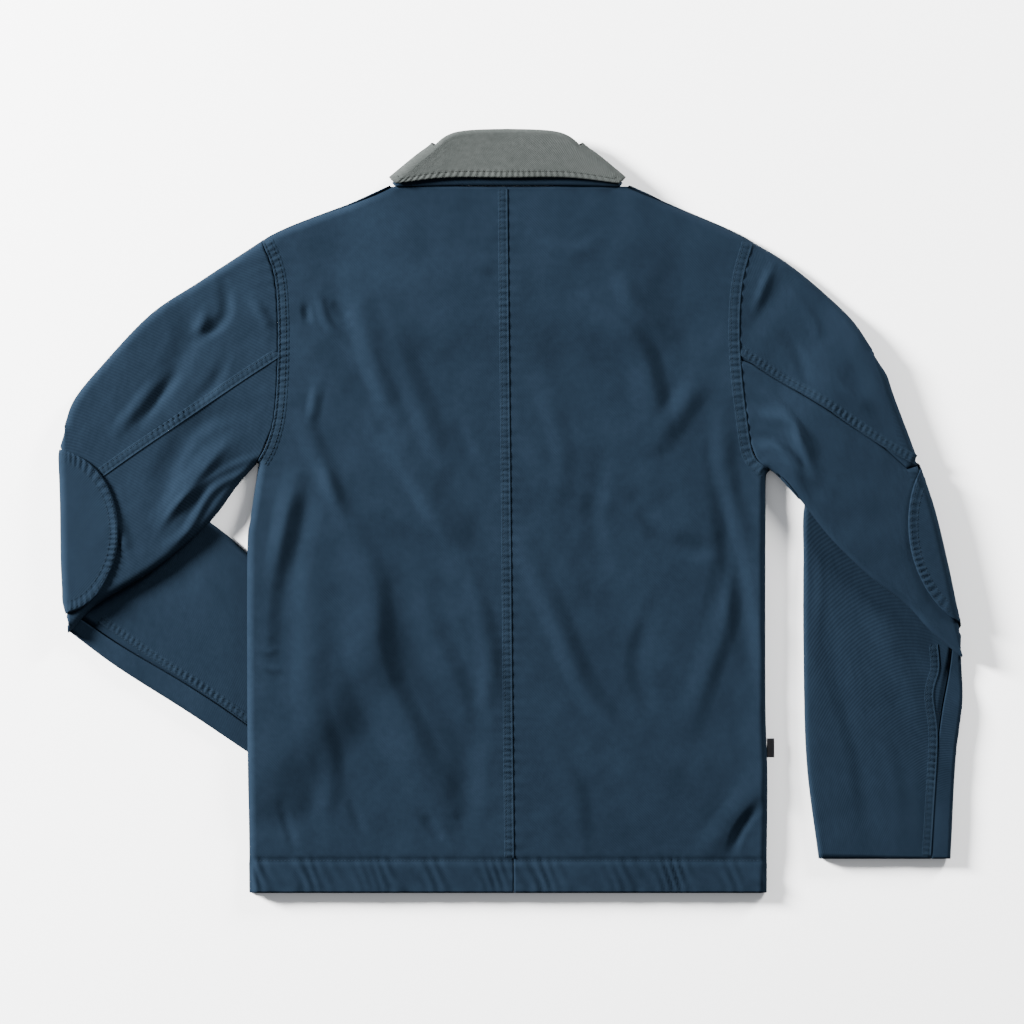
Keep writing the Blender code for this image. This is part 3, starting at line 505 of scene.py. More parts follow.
def weave_group():
    """The twill's slanted ribs, with the uneven threads and the faded, rubbed colour of worn cloth."""
    group = bpy.data.node_groups.new("Twill weave", "ShaderNodeTree")
    face = group.interface
    face.new_socket("Place", in_out="INPUT", socket_type="NodeSocketVector")
    for name, value in (("Rib pitch", 2.0), ("Slant", 1.0), ("Unevenness", 1.0)):
        face.new_socket(name, in_out="INPUT", socket_type="NodeSocketFloat").default_value = value
    for name in ("Rib", "Thread", "Wear"):
        face.new_socket(name, in_out="OUTPUT", socket_type="NodeSocketFloat")
    nodes, links = group.nodes, group.links
    start, end = nodes.new("NodeGroupInput"), nodes.new("NodeGroupOutput")

    def maths(kind, a, b=None):
        node = nodes.new("ShaderNodeMath")
        node.operation = kind
        for socket, value in zip(node.inputs, (a, b)):
            if isinstance(value, (int, float)):
                socket.default_value = value
            elif value is not None:
                links.new(value, socket)
        return node.outputs[0]

    def noise(scale, detail, stretch=(1, 1, 1)):
        placed = nodes.new("ShaderNodeMapping")
        placed.inputs["Scale"].default_value = stretch
        links.new(start.outputs["Place"], placed.inputs["Vector"])
        texture = nodes.new("ShaderNodeTexNoise")
        texture.inputs["Scale"].default_value = scale
        texture.inputs["Detail"].default_value = detail
        links.new(placed.outputs[0], texture.inputs["Vector"])
        return texture.outputs["Fac"]

    parts = nodes.new("ShaderNodeSeparateXYZ")
    links.new(start.outputs["Place"], parts.inputs[0])
    sway = maths("MULTIPLY", maths("SUBTRACT", noise(0.09, 3), 0.5), start.outputs["Unevenness"])
    slanted = maths("ADD", parts.outputs[0], maths("MULTIPLY", parts.outputs[1], start.outputs["Slant"]))
    turns = maths("DIVIDE", maths("ADD", slanted, sway), start.outputs["Rib pitch"])
    rib = maths("SINE", maths("MULTIPLY", turns, 2 * math.pi))
    uneven = maths("ADD", maths("MULTIPLY", noise(0.5, 4, (1, 0.25, 1)), 0.9), 0.45)
    links.new(maths("MULTIPLY", maths("MULTIPLY_ADD", rib, 0.5), uneven), end.inputs["Rib"])
    links.new(noise(1.6, 3, (0.3, 1, 1)), end.inputs["Thread"])
    faded, rubbed = maths("MULTIPLY", noise(0.011, 2), 0.55), maths("MULTIPLY", noise(0.16, 4), 0.45)
    links.new(maths("ADD", faded, rubbed), end.inputs["Wear"])
    return group


weave = weave_group()


def put(node, values):
    """Sets a node's sockets by name."""
    for socket, value in values.items():
        node.inputs[socket].default_value = value


def twill_cloth(name, deep, faded, roughness=0.88, pitch=2.7, slant=1.0, relief=0.13, sheen=0.0):
    """A cloth with twill ribs: darker in the rib valleys and lighter on the rib tops, which is painted shade
    and painted light following the ribs' bump, and lighter where the cloth is faded and rubbed.
    """
    material = bpy.data.materials.new(name)
    material.use_nodes = True
    nodes, links = material.node_tree.nodes, material.node_tree.links
    shader = nodes["Principled BSDF"]
    put(shader, {"Roughness": roughness, "Specular IOR Level": 0.02, "Sheen Weight": sheen,
                 "Sheen Roughness": 0.42, "Sheen Tint": (0.8, 0.8, 0.8, 1)})
    place = nodes.new("ShaderNodeUVMap")
    place.uv_map = "cloth"
    in_mm = nodes.new("ShaderNodeMapping")
    in_mm.inputs["Scale"].default_value = (1000, 1000, 1000)
    links.new(place.outputs[0], in_mm.inputs["Vector"])
    ribs = nodes.new("ShaderNodeGroup")
    ribs.node_tree = weave
    put(ribs, {"Rib pitch": pitch, "Slant": slant})
    links.new(in_mm.outputs[0], ribs.inputs["Place"])
    # The colour follows the rib's height as well as the wear: painted light on the rib tops and painted
    # shade in the valleys, over the bump's own shading.
    rib_shade_and_wear = nodes.new("ShaderNodeMath")
    rib_shade_and_wear.operation = "MULTIPLY_ADD"
    rib_shade_and_wear.inputs[1].default_value = 0.24
    links.new(ribs.outputs["Rib"], rib_shade_and_wear.inputs[0])
    links.new(ribs.outputs["Wear"], rib_shade_and_wear.inputs[2])
    ramp = nodes.new("ShaderNodeValToRGB")
    for element, position, colour in zip(ramp.color_ramp.elements, (0.15, 0.95), (deep, faded)):
        element.position, element.color = position, (*colour, 1)
    links.new(rib_shade_and_wear.outputs[0], ramp.inputs["Fac"])
    links.new(ramp.outputs["Color"], shader.inputs["Base Color"])
    height = nodes.new("ShaderNodeMath")
    height.operation = "MULTIPLY_ADD"
    height.inputs[1].default_value = 0.45
    links.new(ribs.outputs["Thread"], height.inputs[0])
    links.new(ribs.outputs["Rib"], height.inputs[2])
    bump = nodes.new("ShaderNodeBump")
    put(bump, {"Strength": 0.7, "Distance": relief * MM})
    links.new(height.outputs[0], bump.inputs["Height"])
    links.new(bump.outputs["Normal"], shader.inputs["Normal"])
    return material


# The darker colour fills the rib valleys with painted shade and the lighter one marks the rib tops with
# painted light, besides the cloth's faded and rubbed patches.
NAVY_DEEP = (0.0021, 0.0045, 0.0082)
NAVY_FADED_AND_RIB_LIT = (0.0052, 0.0098, 0.0166)
navy_twill = twill_cloth("Navy twill", NAVY_DEEP, NAVY_FADED_AND_RIB_LIT)


def nothing_selected():
    bpy.ops.object.select_all(action="DESELECT")


def cloth(name, grid, material, wall=TWILL, flip=False, hem=False, flat=None):
    """A wall of cloth: a plane's grid whose points are moved onto the piece's outer face, then
    thickened inwards. flat gives the place of each point in the uncut cloth, for the weave."""
    rows, columns = grid.shape[:2]
    nothing_selected()
    bpy.ops.mesh.primitive_grid_add(x_subdivisions=columns - 1, y_subdivisions=rows - 1, size=2)
    piece = bpy.context.object
    piece.name = name
    mesh = piece.data
    plain = np.zeros(len(mesh.vertices) * 3)
    mesh.vertices.foreach_get("co", plain)
    plain = plain.reshape(-1, 3)
    column = np.rint((plain[:, 0] + 1) / 2 * (columns - 1)).astype(int)
    row = np.rint((plain[:, 1] + 1) / 2 * (rows - 1)).astype(int)
    mesh.vertices.foreach_set("co", (grid[row, column] * MM).ravel())
    flat = grid[..., :2] if flat is None else flat
    corners = np.zeros(len(mesh.loops), int)
    mesh.loops.foreach_get("vertex_index", corners)
    mesh.uv_layers[0].name = "cloth"
    mesh.uv_layers["cloth"].data.foreach_set("uv", (flat[row, column][corners] * MM).ravel())
    if flip:
        mesh.flip_normals()
    mesh.materials.append(material)
    solid = piece.modifiers.new("Wall", "SOLIDIFY")
    solid.offset = -1
    solid.thickness = wall * MM
    if hem:
        thickness = piece.vertex_groups.new(name="wall")
        in_hem = grid[row, column][:, 1] < HEM_Y + HEM_DEPTH
        thickness.add([int(index) for index in np.flatnonzero(in_hem)], 1.0, "REPLACE")
        thickness.add([int(index) for index in np.flatnonzero(~in_hem)], wall / HEM_TWILL, "REPLACE")
        solid.thickness = HEM_TWILL * MM
        solid.vertex_group = "wall"
    bpy.ops.object.modifier_apply(modifier="Wall")
    bpy.ops.object.shade_smooth()
    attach(piece, "root")
    return piece


for side in (LEFT, RIGHT):
    prepare(side)

back_left = cloth("jacket_back_left", back_grid(LEFT), navy_twill, flip=True, hem=True)
back_right = cloth("jacket_back_right", back_grid(RIGHT), navy_twill, hem=True)
for piece, node in ((back_left, "back_left"), (back_right, "back_right")):
    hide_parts(node)

# Fronts, left and right half
# The same twill. They lie face down under the back, and the wearer's left front laps over the
# right one at the buttons. They are raised where the collar's fall, the buttons or a forearm lie
# under them.
LOWER_ROUND = 4.4
FOREARM_ROUND = 4.0
LAP = 15.0
PLACKET_LIFT = 2.2
PLACKET_TOP = 196.0
PLACKET_REACH = 48.0
FRONT_NECK_FOOT = 218.0
FRONT_COLUMNS = 56


def lower_height(x, y, side, lapped=0):
    """The outer face of the front and of the upper arm's front, which is the lower one here."""
    near_turn = smooth(1 - nearest(x, y, side["turn_line"])[0] / TURN_REACH)
    from_centre = np.abs(x - centre_x(y))
    over_buttons = PLACKET_LIFT * smooth((y - HEM_Y - HEM_DEPTH) / 40) * smooth((PLACKET_TOP - y) / 20)
    over_lap = lapped * (TWILL + 5.5 * SEAM_GAP + (HEM_TWILL - TWILL) * smooth((HEM_Y + 60 - y) / 20))
    placket = smooth((PLACKET_REACH - from_centre) / 30) * (over_buttons + over_lap)
    low = arm_lift(x, y, side) + collar_lift(x, y) + TURN_LOW * near_turn + placket
    rim = rim_height(x, y, side)
    return rim + (low - rim) * roll(rim_gaps(x, y, side), LOWER_ROUND)


def front_grid(side):
    """One front: from the lapped centre edge and the scooped neck to the side and the armhole."""
    y = np.append(np.linspace(HEM_Y, FRONT_NECK_FOOT, 88)[:-1], np.linspace(FRONT_NECK_FOOT, NECK_Y - 2, 40))
    y = y[:, None]
    neck = NECK_HALF_WIDTH * np.sqrt(np.clip(1 - ((NECK_Y - y) / NECK_DROP) ** 2, 0, 1)) + SEAM_GAP
    in_neck = smooth((y - (NECK_Y - NECK_DROP) + 9) / 8)
    lap_edge = centre_x(y) - side["sign"] * LAP
    inner = lap_edge + (NECK_CENTRE_X + side["sign"] * neck - lap_edge) * in_neck
    x = inner + (edge_x(side, y) - inner) * spaced(FRONT_COLUMNS, 0.35)
    y = y + 0 * x
    z = lower_height(x, y, side, lapped=side["sign"] > 0)
    z[:, -1] = np.maximum(z[:, -1] - rim_gap(x, y, side), 0.1)
    return np.stack([x, y, z], -1)


front_left = cloth("jacket_front_left", front_grid(LEFT), navy_twill, hem=True)
front_right = cloth("jacket_front_right", front_grid(RIGHT), navy_twill, flip=True, hem=True)
for piece, node in ((front_left, "front_left"), (front_right, "front_right")):
    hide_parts(node)

# Sleeves, each a top sleeve and an under sleeve
# Two-piece sleeves in the same twill, joined by a felled back seam and a felled underarm seam. Both
# are folded under at the elbow, so that the forearm shows its front beside or below the body.
UNDER_SEAM_GAP = 1.4
SLEEVE_WIDTH = 180.0
ARMPIT_EASE = 2.2
PATCH_CLOTH = 1.2
PATCH_GAP = 1.4
PATCH_ROOM = PATCH_GAP + PATCH_CLOTH + 0.1
FOREARM_FOLDS = [
    (22, 18, 1.8, [(342, -82), (378, -160), (397, -219)]),
    (18, 20, -1.2, [(288, -60), (311, -160), (338, -277), (354, -331)]),
]
FOREARM_CREASES = [
    (12, 10, 0.8, [(300, -160), (322, -240), (330, -300)]),
    (12, 10, -0.7, [(392, -228), (400, -280), (396, -328)]),
    (10, 12, 0.7, [(348, -196), (366, -250), (372, -318)]),
    (7, 8, 0.6, [(292, -20), (296, -70), (292, -120)]),
    (9, 10, 0.7, [(-330, -30), (-300, -60), (-268, -96)]),
    (8, 9, -0.6, [(-372, -100), (-330, -122), (-290, -160)]),
]


def patch_cover(x, y, side):
    """1 where the elbow patch lies under the forearm, fading to 0 just outside it."""
    patch = side["patch"]
    gap, at, _ = nearest(x, y, side["turn_line"])
    across = -(gap + TURN_HIGH * math.pi / 2) - patch["shift"]
    oval = np.hypot((at - patch["middle"]) / patch["half_length"], across / patch["half_width"])
    return smooth((1.5 - oval) / 0.25)


def forearm_heights(x, y, side):
    """Height of the forearm's back, on the surface below, and of its front, which faces up."""
    open_part = np.minimum(reach(x, y, side["upper_arm"]), reach(x, y, side["body"]))
    near_turn = smooth(1 - nearest(x, y, side["turn_line"])[0] / TURN_REACH)
    opened = smooth((open_part - PRESSED_MARGIN) / 40)
    total = FOREARM_PRESSED + (side["forearm_height"] - FOREARM_PRESSED) * opened
    folds = fold_height(x, y, FOREARM_FOLDS + FOREARM_CREASES) + 0.6 * crumple(x, y)
    total = total + folds * smooth((open_part - PRESSED_MARGIN) / 25)
    total = total + (TURN_HIGH - TURN_TIGHT - FOREARM_PRESSED) * near_turn
    gap = np.minimum(nearest(x, y, side["fore_outer"])[0], nearest(x, y, side["fore_under"])[0])
    middle = total / 2
    bulge = roll(gap, FOREARM_ROUND)
    under = np.maximum(middle * (1 - bulge), patch_cover(x, y, side) * PATCH_ROOM)
    return under, middle + (total - middle) * bulge


def turn_point(at, angle, out, side, extra=0.0, rim=1.0):
    """A point of the elbow's fold: at a length along it, an angle from the top, and out or in."""
    run = run_of(side["turn_line"])
    centre = np.stack([np.interp(at, run, side["turn_line"][:, k]) for k in (0, 1)], -1)
    outward = np.stack([np.interp(at, run, side["outward"][:, k]) for k in (0, 1)], -1)
    patch = side["patch"]
    covered = smooth((1.03 - np.abs(at - patch["middle"]) / patch["half_length"]) / 0.03)
    high = TURN_HIGH - PATCH_ROOM * covered * smooth(angle / (math.pi / 2))
    middle = (high + TURN_TIGHT) / 2
    radius = middle + out * (high - middle) * rim + extra
    flare = smooth(np.minimum(at, run[-1] - at) / TURN_FLARE)
    plan = centre + outward * (radius * flare * np.sin(angle))[..., None]
    return np.concatenate([plan, (TURN_HIGH + radius * np.cos(angle))[..., None]], -1)


def sleeve_surface(side, ring, share, face):
    """A point of the sleeve. ring runs 0 to 1 down the upper arm, to 2 round the elbow's fold and to 3
    down the forearm; share runs across from the outer edge to the underarm edge; face is 1 on the
    sleeve's back and -1 on its front."""
    ring, share, face = np.broadcast_arrays(ring, share, face)
    spot = lambda name, at: along(side[name], at)
    upper = np.clip(ring, 0, 1)
    outer, under = spot("outer", upper), spot("under", upper)
    straight = (1 - share)[..., None] * side["armhole"][0] + share[..., None] * side["armhole"][-1]
    curve = (spot("armhole", share) - straight) * ((1 - upper) ** 2)[..., None]
    plan = outer * (1 - share)[..., None] + under * share[..., None] + curve
    plan[..., 0] += side["sign"] * ARMPIT_EASE * smooth((share - 0.8) / 0.1) * (1 - upper) ** 4
    x, y = plan[..., 0], plan[..., 1]
    beside_armhole, armhole_at, _ = nearest(x, y, side["armhole"])
    waves = seam_waves(beside_armhole, armhole_at, 0.3, 13.0) * roll(rim_gaps(x, y, side), UPPER_ROUND)
    z = np.where(face > 0, upper_height(x, y, side) + waves, lower_height(x, y, side))
    upper_arm = np.stack([x, y, z], -1)
    edge = roll(np.minimum(share, 1 - share), 0.03)
    length = run_of(side["turn_line"])[-1]
    fold = turn_point(share * length, np.clip(ring - 1, 0, 1) * math.pi, face, side, 0, edge)
    lower = np.clip(ring - 2, 0, 1)
    outer, under = spot("fore_outer", lower), spot("fore_under", lower)
    line = spot("turn_line", share)
    chord = outer * (1 - share)[..., None] + under * share[..., None]
    chord_start = (1 - share)[..., None] * side["turn_line"][0] + share[..., None] * side["turn_line"][-1]
    plan = chord + (line - chord_start) * ((1 - lower) ** 2)[..., None]
    x, y = plan[..., 0], plan[..., 1]
    low, high = forearm_heights(x, y, side)
    forearm = np.stack([x, y, np.where(face > 0, low, high)], -1)
    kind = ring[..., None]
    return np.where(kind <= 1, upper_arm, np.where(kind < 2, fold, forearm))


def seam_shares(side, ring, which):
    """The share across the sleeve at which a seam lies, on each ring."""
    return np.interp(ring, (0, 1, 2, 3), (side[which][0], side[which][1], side[which][1], side[which][2]))


UPPER_ARM_LENGTH = 230.0
ELBOW_FOLD_LENGTH = 25.0
FOREARM_LENGTH = 250.0
ARM_COLUMNS = {"round_edge": 18, "face": 40}


def sleeve_rings():
    turn = 1 + np.arange(1, 13) / 13
    return np.concatenate([np.linspace(0.004, 1, 84), turn, np.linspace(2, 3, 84)])


def towards_edge(count):
    """Shares from a seam, 1, to the sleeve's edge fold, 0, closer together as the cloth turns over."""
    return np.linspace(1, 0, count) ** 2.0 * 0.35 + np.linspace(1, 0, count) * 0.65


def sleeve_grid(side, under_piece):
    """Rings by columns of one of the sleeve's two pieces, from seam to seam round an edge fold, and
    the same points laid out flat."""
    ring = sleeve_rings()[:, None]
    back = seam_shares(side, ring, "back_seam")
    front = seam_shares(side, ring, "under_seam")
    gap = SEAM_GAP / SLEEVE_WIDTH
    under_gap = UNDER_SEAM_GAP / 2 / SLEEVE_WIDTH
    wide, narrow = towards_edge(ARM_COLUMNS["face"]), towards_edge(ARM_COLUMNS["round_edge"])
    if under_piece:
        on_back = 1 - (1 - back - gap) * wide
        on_front = 1 - (1 - front - under_gap) * narrow[::-1][1:]
    else:
        on_back = (back - gap) * wide
        on_front = (front - under_gap) * wide[::-1][1:]
    share = np.hstack([on_back, on_front])
    face = np.append(np.ones(on_back.shape[1]), -np.ones(on_front.shape[1]))
    grid = sleeve_surface(side, ring, share, face[None])
    across = np.hstack([on_back, (2 if under_piece else 0) - on_front]) * SLEEVE_WIDTH
    lengths = np.cumsum((0, UPPER_ARM_LENGTH, ELBOW_FOLD_LENGTH, FOREARM_LENGTH))
    down = np.interp(ring, (0, 1, 2, 3), lengths)
    return grid, np.stack([across * side["sign"], -down + 0 * across], -1)


for arm, side in (("left", LEFT), ("right", RIGHT)):
    for part, under_piece in (("top", False), ("under", True)):
        grid, flat = sleeve_grid(side, under_piece)
        facing_up = (side["sign"] > 0) == under_piece
        piece = cloth(f"jacket_{arm}_sleeve_{part}", grid, navy_twill, flip=not facing_up, flat=flat)
        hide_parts(f"{arm}_sleeve_{part}")

# Elbow patches
# One oval of the same twill on each sleeve, laid over the sleeve's back and round the fold of the
# elbow, with its edge turned under and two rows of stitches round it.
PATCH_STEPS = (84, 96)


def patch_points(side, u, v, raise_by=0.0):
    """Points of the patch's outer face, from shares -1 to 1 across the elbow's fold and along it."""
    patch = side["patch"]
    at = patch["middle"] + patch["half_length"] * v * np.sqrt(1 - u ** 2 / 2)
    across = patch["shift"] + patch["half_width"] * u * np.sqrt(1 - v ** 2 / 2)
    quarter = TURN_HIGH * math.pi / 2
    proud = PATCH_GAP + PATCH_CLOTH + raise_by
    wrap = turn_point(at, np.clip(1 - across / quarter, 0, 2) * math.pi / 2, 1, side, proud)
    run = run_of(side["turn_line"])
    inward = np.maximum(np.abs(across) - quarter, 0)
    plan = np.stack([np.interp(at, run, side["turn_line"][:, k])
                     - inward * np.interp(at, run, side["outward"][:, k]) for k in (0, 1)], -1)
    x, y = plan[..., 0], plan[..., 1]
    edge = np.abs(u * np.sqrt(1 - v ** 2 / 2)) ** 2 + (v * np.sqrt(1 - u ** 2 / 2)) ** 2
    turned_edge = 0.35 * smooth((edge - 0.80) / 0.06) * (1 - smooth((edge - 0.975) / 0.025))
    puckers = 0.42 * smooth((edge - 0.70) / 0.10) * smooth((1 - edge) / 0.04)
    puckers = puckers * np.sin(np.arctan2(v, u) * 72) * (0.8 + 0.3 * np.sin(np.arctan2(v, u) * 5))
    top = upper_height(x, y, side) + proud + turned_edge + puckers - 0.5 * smooth((edge - 0.97) / 0.03)
    low = forearm_heights(x, y, side)[0] - proud
    flat = np.stack([x, y, np.where(across > 0, top, low)], -1)
    return np.where(np.abs(across)[..., None] > quarter, flat, wrap), np.stack([across, at], -1)


for arm, side in (("left", LEFT), ("right", RIGHT)):
    u, v = np.meshgrid(np.linspace(-1, 1, PATCH_STEPS[0]), np.linspace(-1, 1, PATCH_STEPS[1]))
    grid, flat = patch_points(side, u, v)
    piece = cloth(f"jacket_{arm}_elbow_patch", grid, navy_twill, wall=PATCH_CLOTH,
                  flip=side["sign"] < 0, flat=flat)
    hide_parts(f"{arm}_elbow_patch")

# Collar, top and under
# A grey canvas top collar over a navy twill under collar, sewn into the neck seam, folded down at the
# roll line and pressed flat. Its two leaves lie under the fronts, face down.
COLLAR_CLOTH = 1.2
COLLAR_GAP = 2.8
COLLAR_MIDDLE = 9.6
STAND_FROM_MIDDLE = 2.75
FALL_FROM_MIDDLE = 6.8
COLLAR_BACK = [[(0, 312), (60, 312)], [(0, 361.9), (38, 360.8), (55, 356.6)], [(0, 319.5), (58, 319.5)]]
# In the grey canvas too, the darker colour is painted shade in the rib valleys and the lighter one painted
# light on the rib tops, besides faded and rubbed patches.
GREY_DEEP = (0.010, 0.012, 0.0112)
GREY_FADED_AND_RIB_LIT = (0.037, 0.0405, 0.0390)


def collar_level(kind, station):
    """A half collar's seam, roll line or fall edge: kind 0, 1 or 2, by stations -1 back to 1 front."""
    back = curve_through(COLLAR_BACK[kind] + [COLLAR_TURN[kind]])
    front = curve_through([COLLAR_TURN[kind]] + COLLAR_FRONT[kind])
    return np.where((station <= 0)[..., None], along(back, np.clip(1 + station, 0, 1)),
                    along(front, np.clip(station, 0, 1)))


def unit(vectors):
    return vectors / np.linalg.norm(vectors, axis=-1, keepdims=True)


def rounded_corners(grid, turn):
    """Rounds the cloth where the side fold runs into the roll line, which would stand out as a tip."""
    folded = np.flatnonzero((turn[:, 0] > 0) & (turn[:, 0] < math.pi))
    station, row = np.indices(grid.shape[:2])
    off_fold = np.abs(station[..., None] - folded).min(-1)
    weight = np.exp(-(off_fold / CORNER_STATIONS) ** 2) * np.exp(-((row - CORNER_ROW) / 9) ** 2)
    for _ in range(CORNER_PASSES):
        around = grid[2:, 1:-1] + grid[:-2, 1:-1] + grid[1:-1, 2:] + grid[1:-1, :-2]
        grid[1:-1, 1:-1] += 0.5 * weight[1:-1, 1:-1, None] * (around / 4 - grid[1:-1, 1:-1])
    return grid


def collar_grid(offset):
    """The collar from the left front round the back to the right front. Columns run from the neck
    seam up the stand, over the roll line and down the fall. offset moves the cloth's outer face."""
    half = np.concatenate([np.linspace(-1, 0, 110), np.zeros(9), np.linspace(0, 1, 44)])
    turn = np.concatenate([np.zeros(110), np.arange(1, 10) / 10, np.ones(44)]) * math.pi
    mirror = np.concatenate([-np.ones(len(half) - 1), np.ones(len(half))])
    station = np.concatenate([half[:0:-1], half])[:, None]
    turn = np.concatenate([turn[:0:-1], turn])[:, None]
    rows = [("stand", s, 0.0) for s in np.linspace(0.004, 0.93, 14)]
    rows += [("bend", 1.0, b) for b in np.linspace(0, math.pi, 13)]
    rows += [("fall", s, math.pi) for s in np.linspace(0.05, 1.0, 30)]
    tight = (FALL_FROM_MIDDLE - STAND_FROM_MIDDLE) / 2
    columns = []
    for part, share, bend in rows:
        seam, top, edge = (collar_level(kind, station) for kind in (0, 1, 2))
        plan = seam + (top - seam) * share if part == "stand" else top
        plan = plan + (edge - top) * (share if part == "fall" else 0)
        rise = unit(np.concatenate([CORNER_RISE * smooth(1 + station), 1 + 0 * station], -1))[:, None]
        rise = unit(rise + (unit(top - seam) - rise) * np.sin(turn / 2)[..., None] ** 2)
        thin = tight + offset
        plan = plan + rise * (thin * math.sin(bend) if part == "bend" else 0)
        radius = STAND_FROM_MIDDLE + tight - thin * math.cos(bend)
        plan = plan + SIDE_FOLD_OUTWARD * (radius * np.sin(turn))[..., None]
        z = COLLAR_MIDDLE + radius * np.cos(turn)
        columns.append(np.concatenate([plan, z[..., None]], -1)[:, 0])
    grid = np.stack(columns, 1)
    grid[..., 0] = NECK_CENTRE_X + mirror[:, None] * grid[..., 0]
    return rounded_corners(grid, turn)


def collar_flat(grid):
    """The collar's points laid out flat: along the collar and up from the neck seam."""
    steps_up = np.linalg.norm(np.diff(grid, axis=1), axis=2).mean(0)
    steps_along = np.linalg.norm(np.diff(grid, axis=0), axis=2).mean(1)
    up, around = np.append(0, np.cumsum(steps_up)), np.append(0, np.cumsum(steps_along))
    return np.stack(np.meshgrid(around, up, indexing="ij"), -1)


grey_canvas = twill_cloth("Grey canvas", GREY_DEEP, GREY_FADED_AND_RIB_LIT, roughness=0.92, pitch=1.7, slant=0.8,
                          relief=0.20)
COLLAR_STITCH_INSET = 6.5
COLLAR_PUCKER = {"depth": 0.32, "pitch": 4.8}


def collar_edge(grid, flat):
    """Puckers in the grey cloth between its one row of stitches and its lower edge."""
    inset = flat[..., 1].max() - flat[..., 1]
    band = smooth((COLLAR_STITCH_INSET + 3 - inset) / 3) * smooth(inset / 1.5)
    groove = np.exp(-((inset - COLLAR_STITCH_INSET) / 0.9) ** 2)
    ladder = np.sin(2 * math.pi * (flat[..., 0] + 2 * np.sin(flat[..., 0] / 19)) / COLLAR_PUCKER["pitch"])
    upward = np.sign(grid[..., 2] - COLLAR_MIDDLE)
    grid[..., 2] += upward * (COLLAR_PUCKER["depth"] * ladder * band - 0.4 * groove)
    return grid


for name, node, offset, material, slot in (
        ("jacket_collar_top", "collar_top", COLLAR_CLOTH + COLLAR_GAP / 2, grey_canvas, "grey_canvas"),
        ("jacket_collar_under", "collar_under", -COLLAR_GAP / 2, navy_twill, "navy_twill")):
    grid = collar_grid(offset)
    flat = collar_flat(grid)
    if material is grey_canvas:
        grid = collar_edge(grid, flat)
        collar_row = grid[:, np.abs(flat[0, :, 1].max() - flat[0, :, 1] - COLLAR_STITCH_INSET).argmin()]
    piece = cloth(name, grid, material, wall=COLLAR_CLOTH, flat=flat)
    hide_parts(node)

# Felled seams
# Each seam is a flat band of turned-in cloth, some 10 mm wide, on one side of the join, held by two
# rows of stitches that draw it into a ladder of small puckers. It lies on the cloth that it joins.
BAND_STEP = 1.3
LADDER_PITCH = 5.6
# The seam bands' lighter colour stands for rubbed cloth and also for painted light on the rib tops, with
# painted shade in the valleys.
RUBBED_AND_RIB_LIT = (0.0056, 0.0104, 0.0172)


def band_line(points):
    """A seam's line in plan, as evenly spaced points."""
    line = curve_through(points, 12)
    count = int(run_of(line)[-1] / BAND_STEP)
    return along(line, np.linspace(0, 1, count))


def left_of(line):
    """The unit direction to the left of a plan line, at each of its points."""
    step = np.gradient(line, axis=0)
    return np.stack([-step[:, 1], step[:, 0]], -1) / np.hypot(*step.T)[:, None]


def band_grid(line, width, height, side):
    """The band's outer face: from the join, at 0, across to its far edge on the line's left (or on its
    right where the width is negative), with ladder puckers between the two rows of stitches."""
    share = np.array([0, 0.04, 0.09, 0.15, 0.22, 0.32, 0.43, 0.54, 0.65, 0.76, 0.84, 0.92, 1.0])
    across = share * abs(width)
    plan = line[:, None] + left_of(line)[:, None] * (across * np.sign(width))[None, :, None]
    run = run_of(line)[:, None]
    ladder = np.sin(2 * math.pi * (run + 2.2 * np.sin(run / 41) + 1.2 * share) / LADDER_PITCH)
    uneven = 0.75 + 0.35 * np.sin(run / 17.0 + 1) * np.sin(run / 71.0)
    raised = 0.34 + 0.30 * np.exp(-((across - 0.8) / 0.8) ** 2)
    between = smooth((share - 0.08) / 0.14) * smooth((1 - share) / 0.14)
    rows = np.exp(-((share - 0.22) / 0.06) ** 2) + np.exp(-((share - 0.80) / 0.06) ** 2)
    profile = raised + 0.40 * ladder * uneven * between - 0.34 * rows * (1 + 0.5 * ladder)
    profile = profile * smooth((1.08 - share) / 0.25)
    profile = np.where(share == 0, -0.3, np.where(share == 1, -0.2, profile))
    ends = smooth(run / 3) * smooth((run[-1] - run) / 3)
    z = height(plan[..., 0], plan[..., 1], side) + profile * ends - 0.5 * (1 - ends)
    flat = np.stack([across + 0 * run, run + 0 * across], -1)
    return np.concatenate([plan, z[..., None]], -1), flat


def forearm_top(x, y, side):
    """The outer face of the forearm's front, which faces up."""
    return forearm_heights(x, y, side)[1]


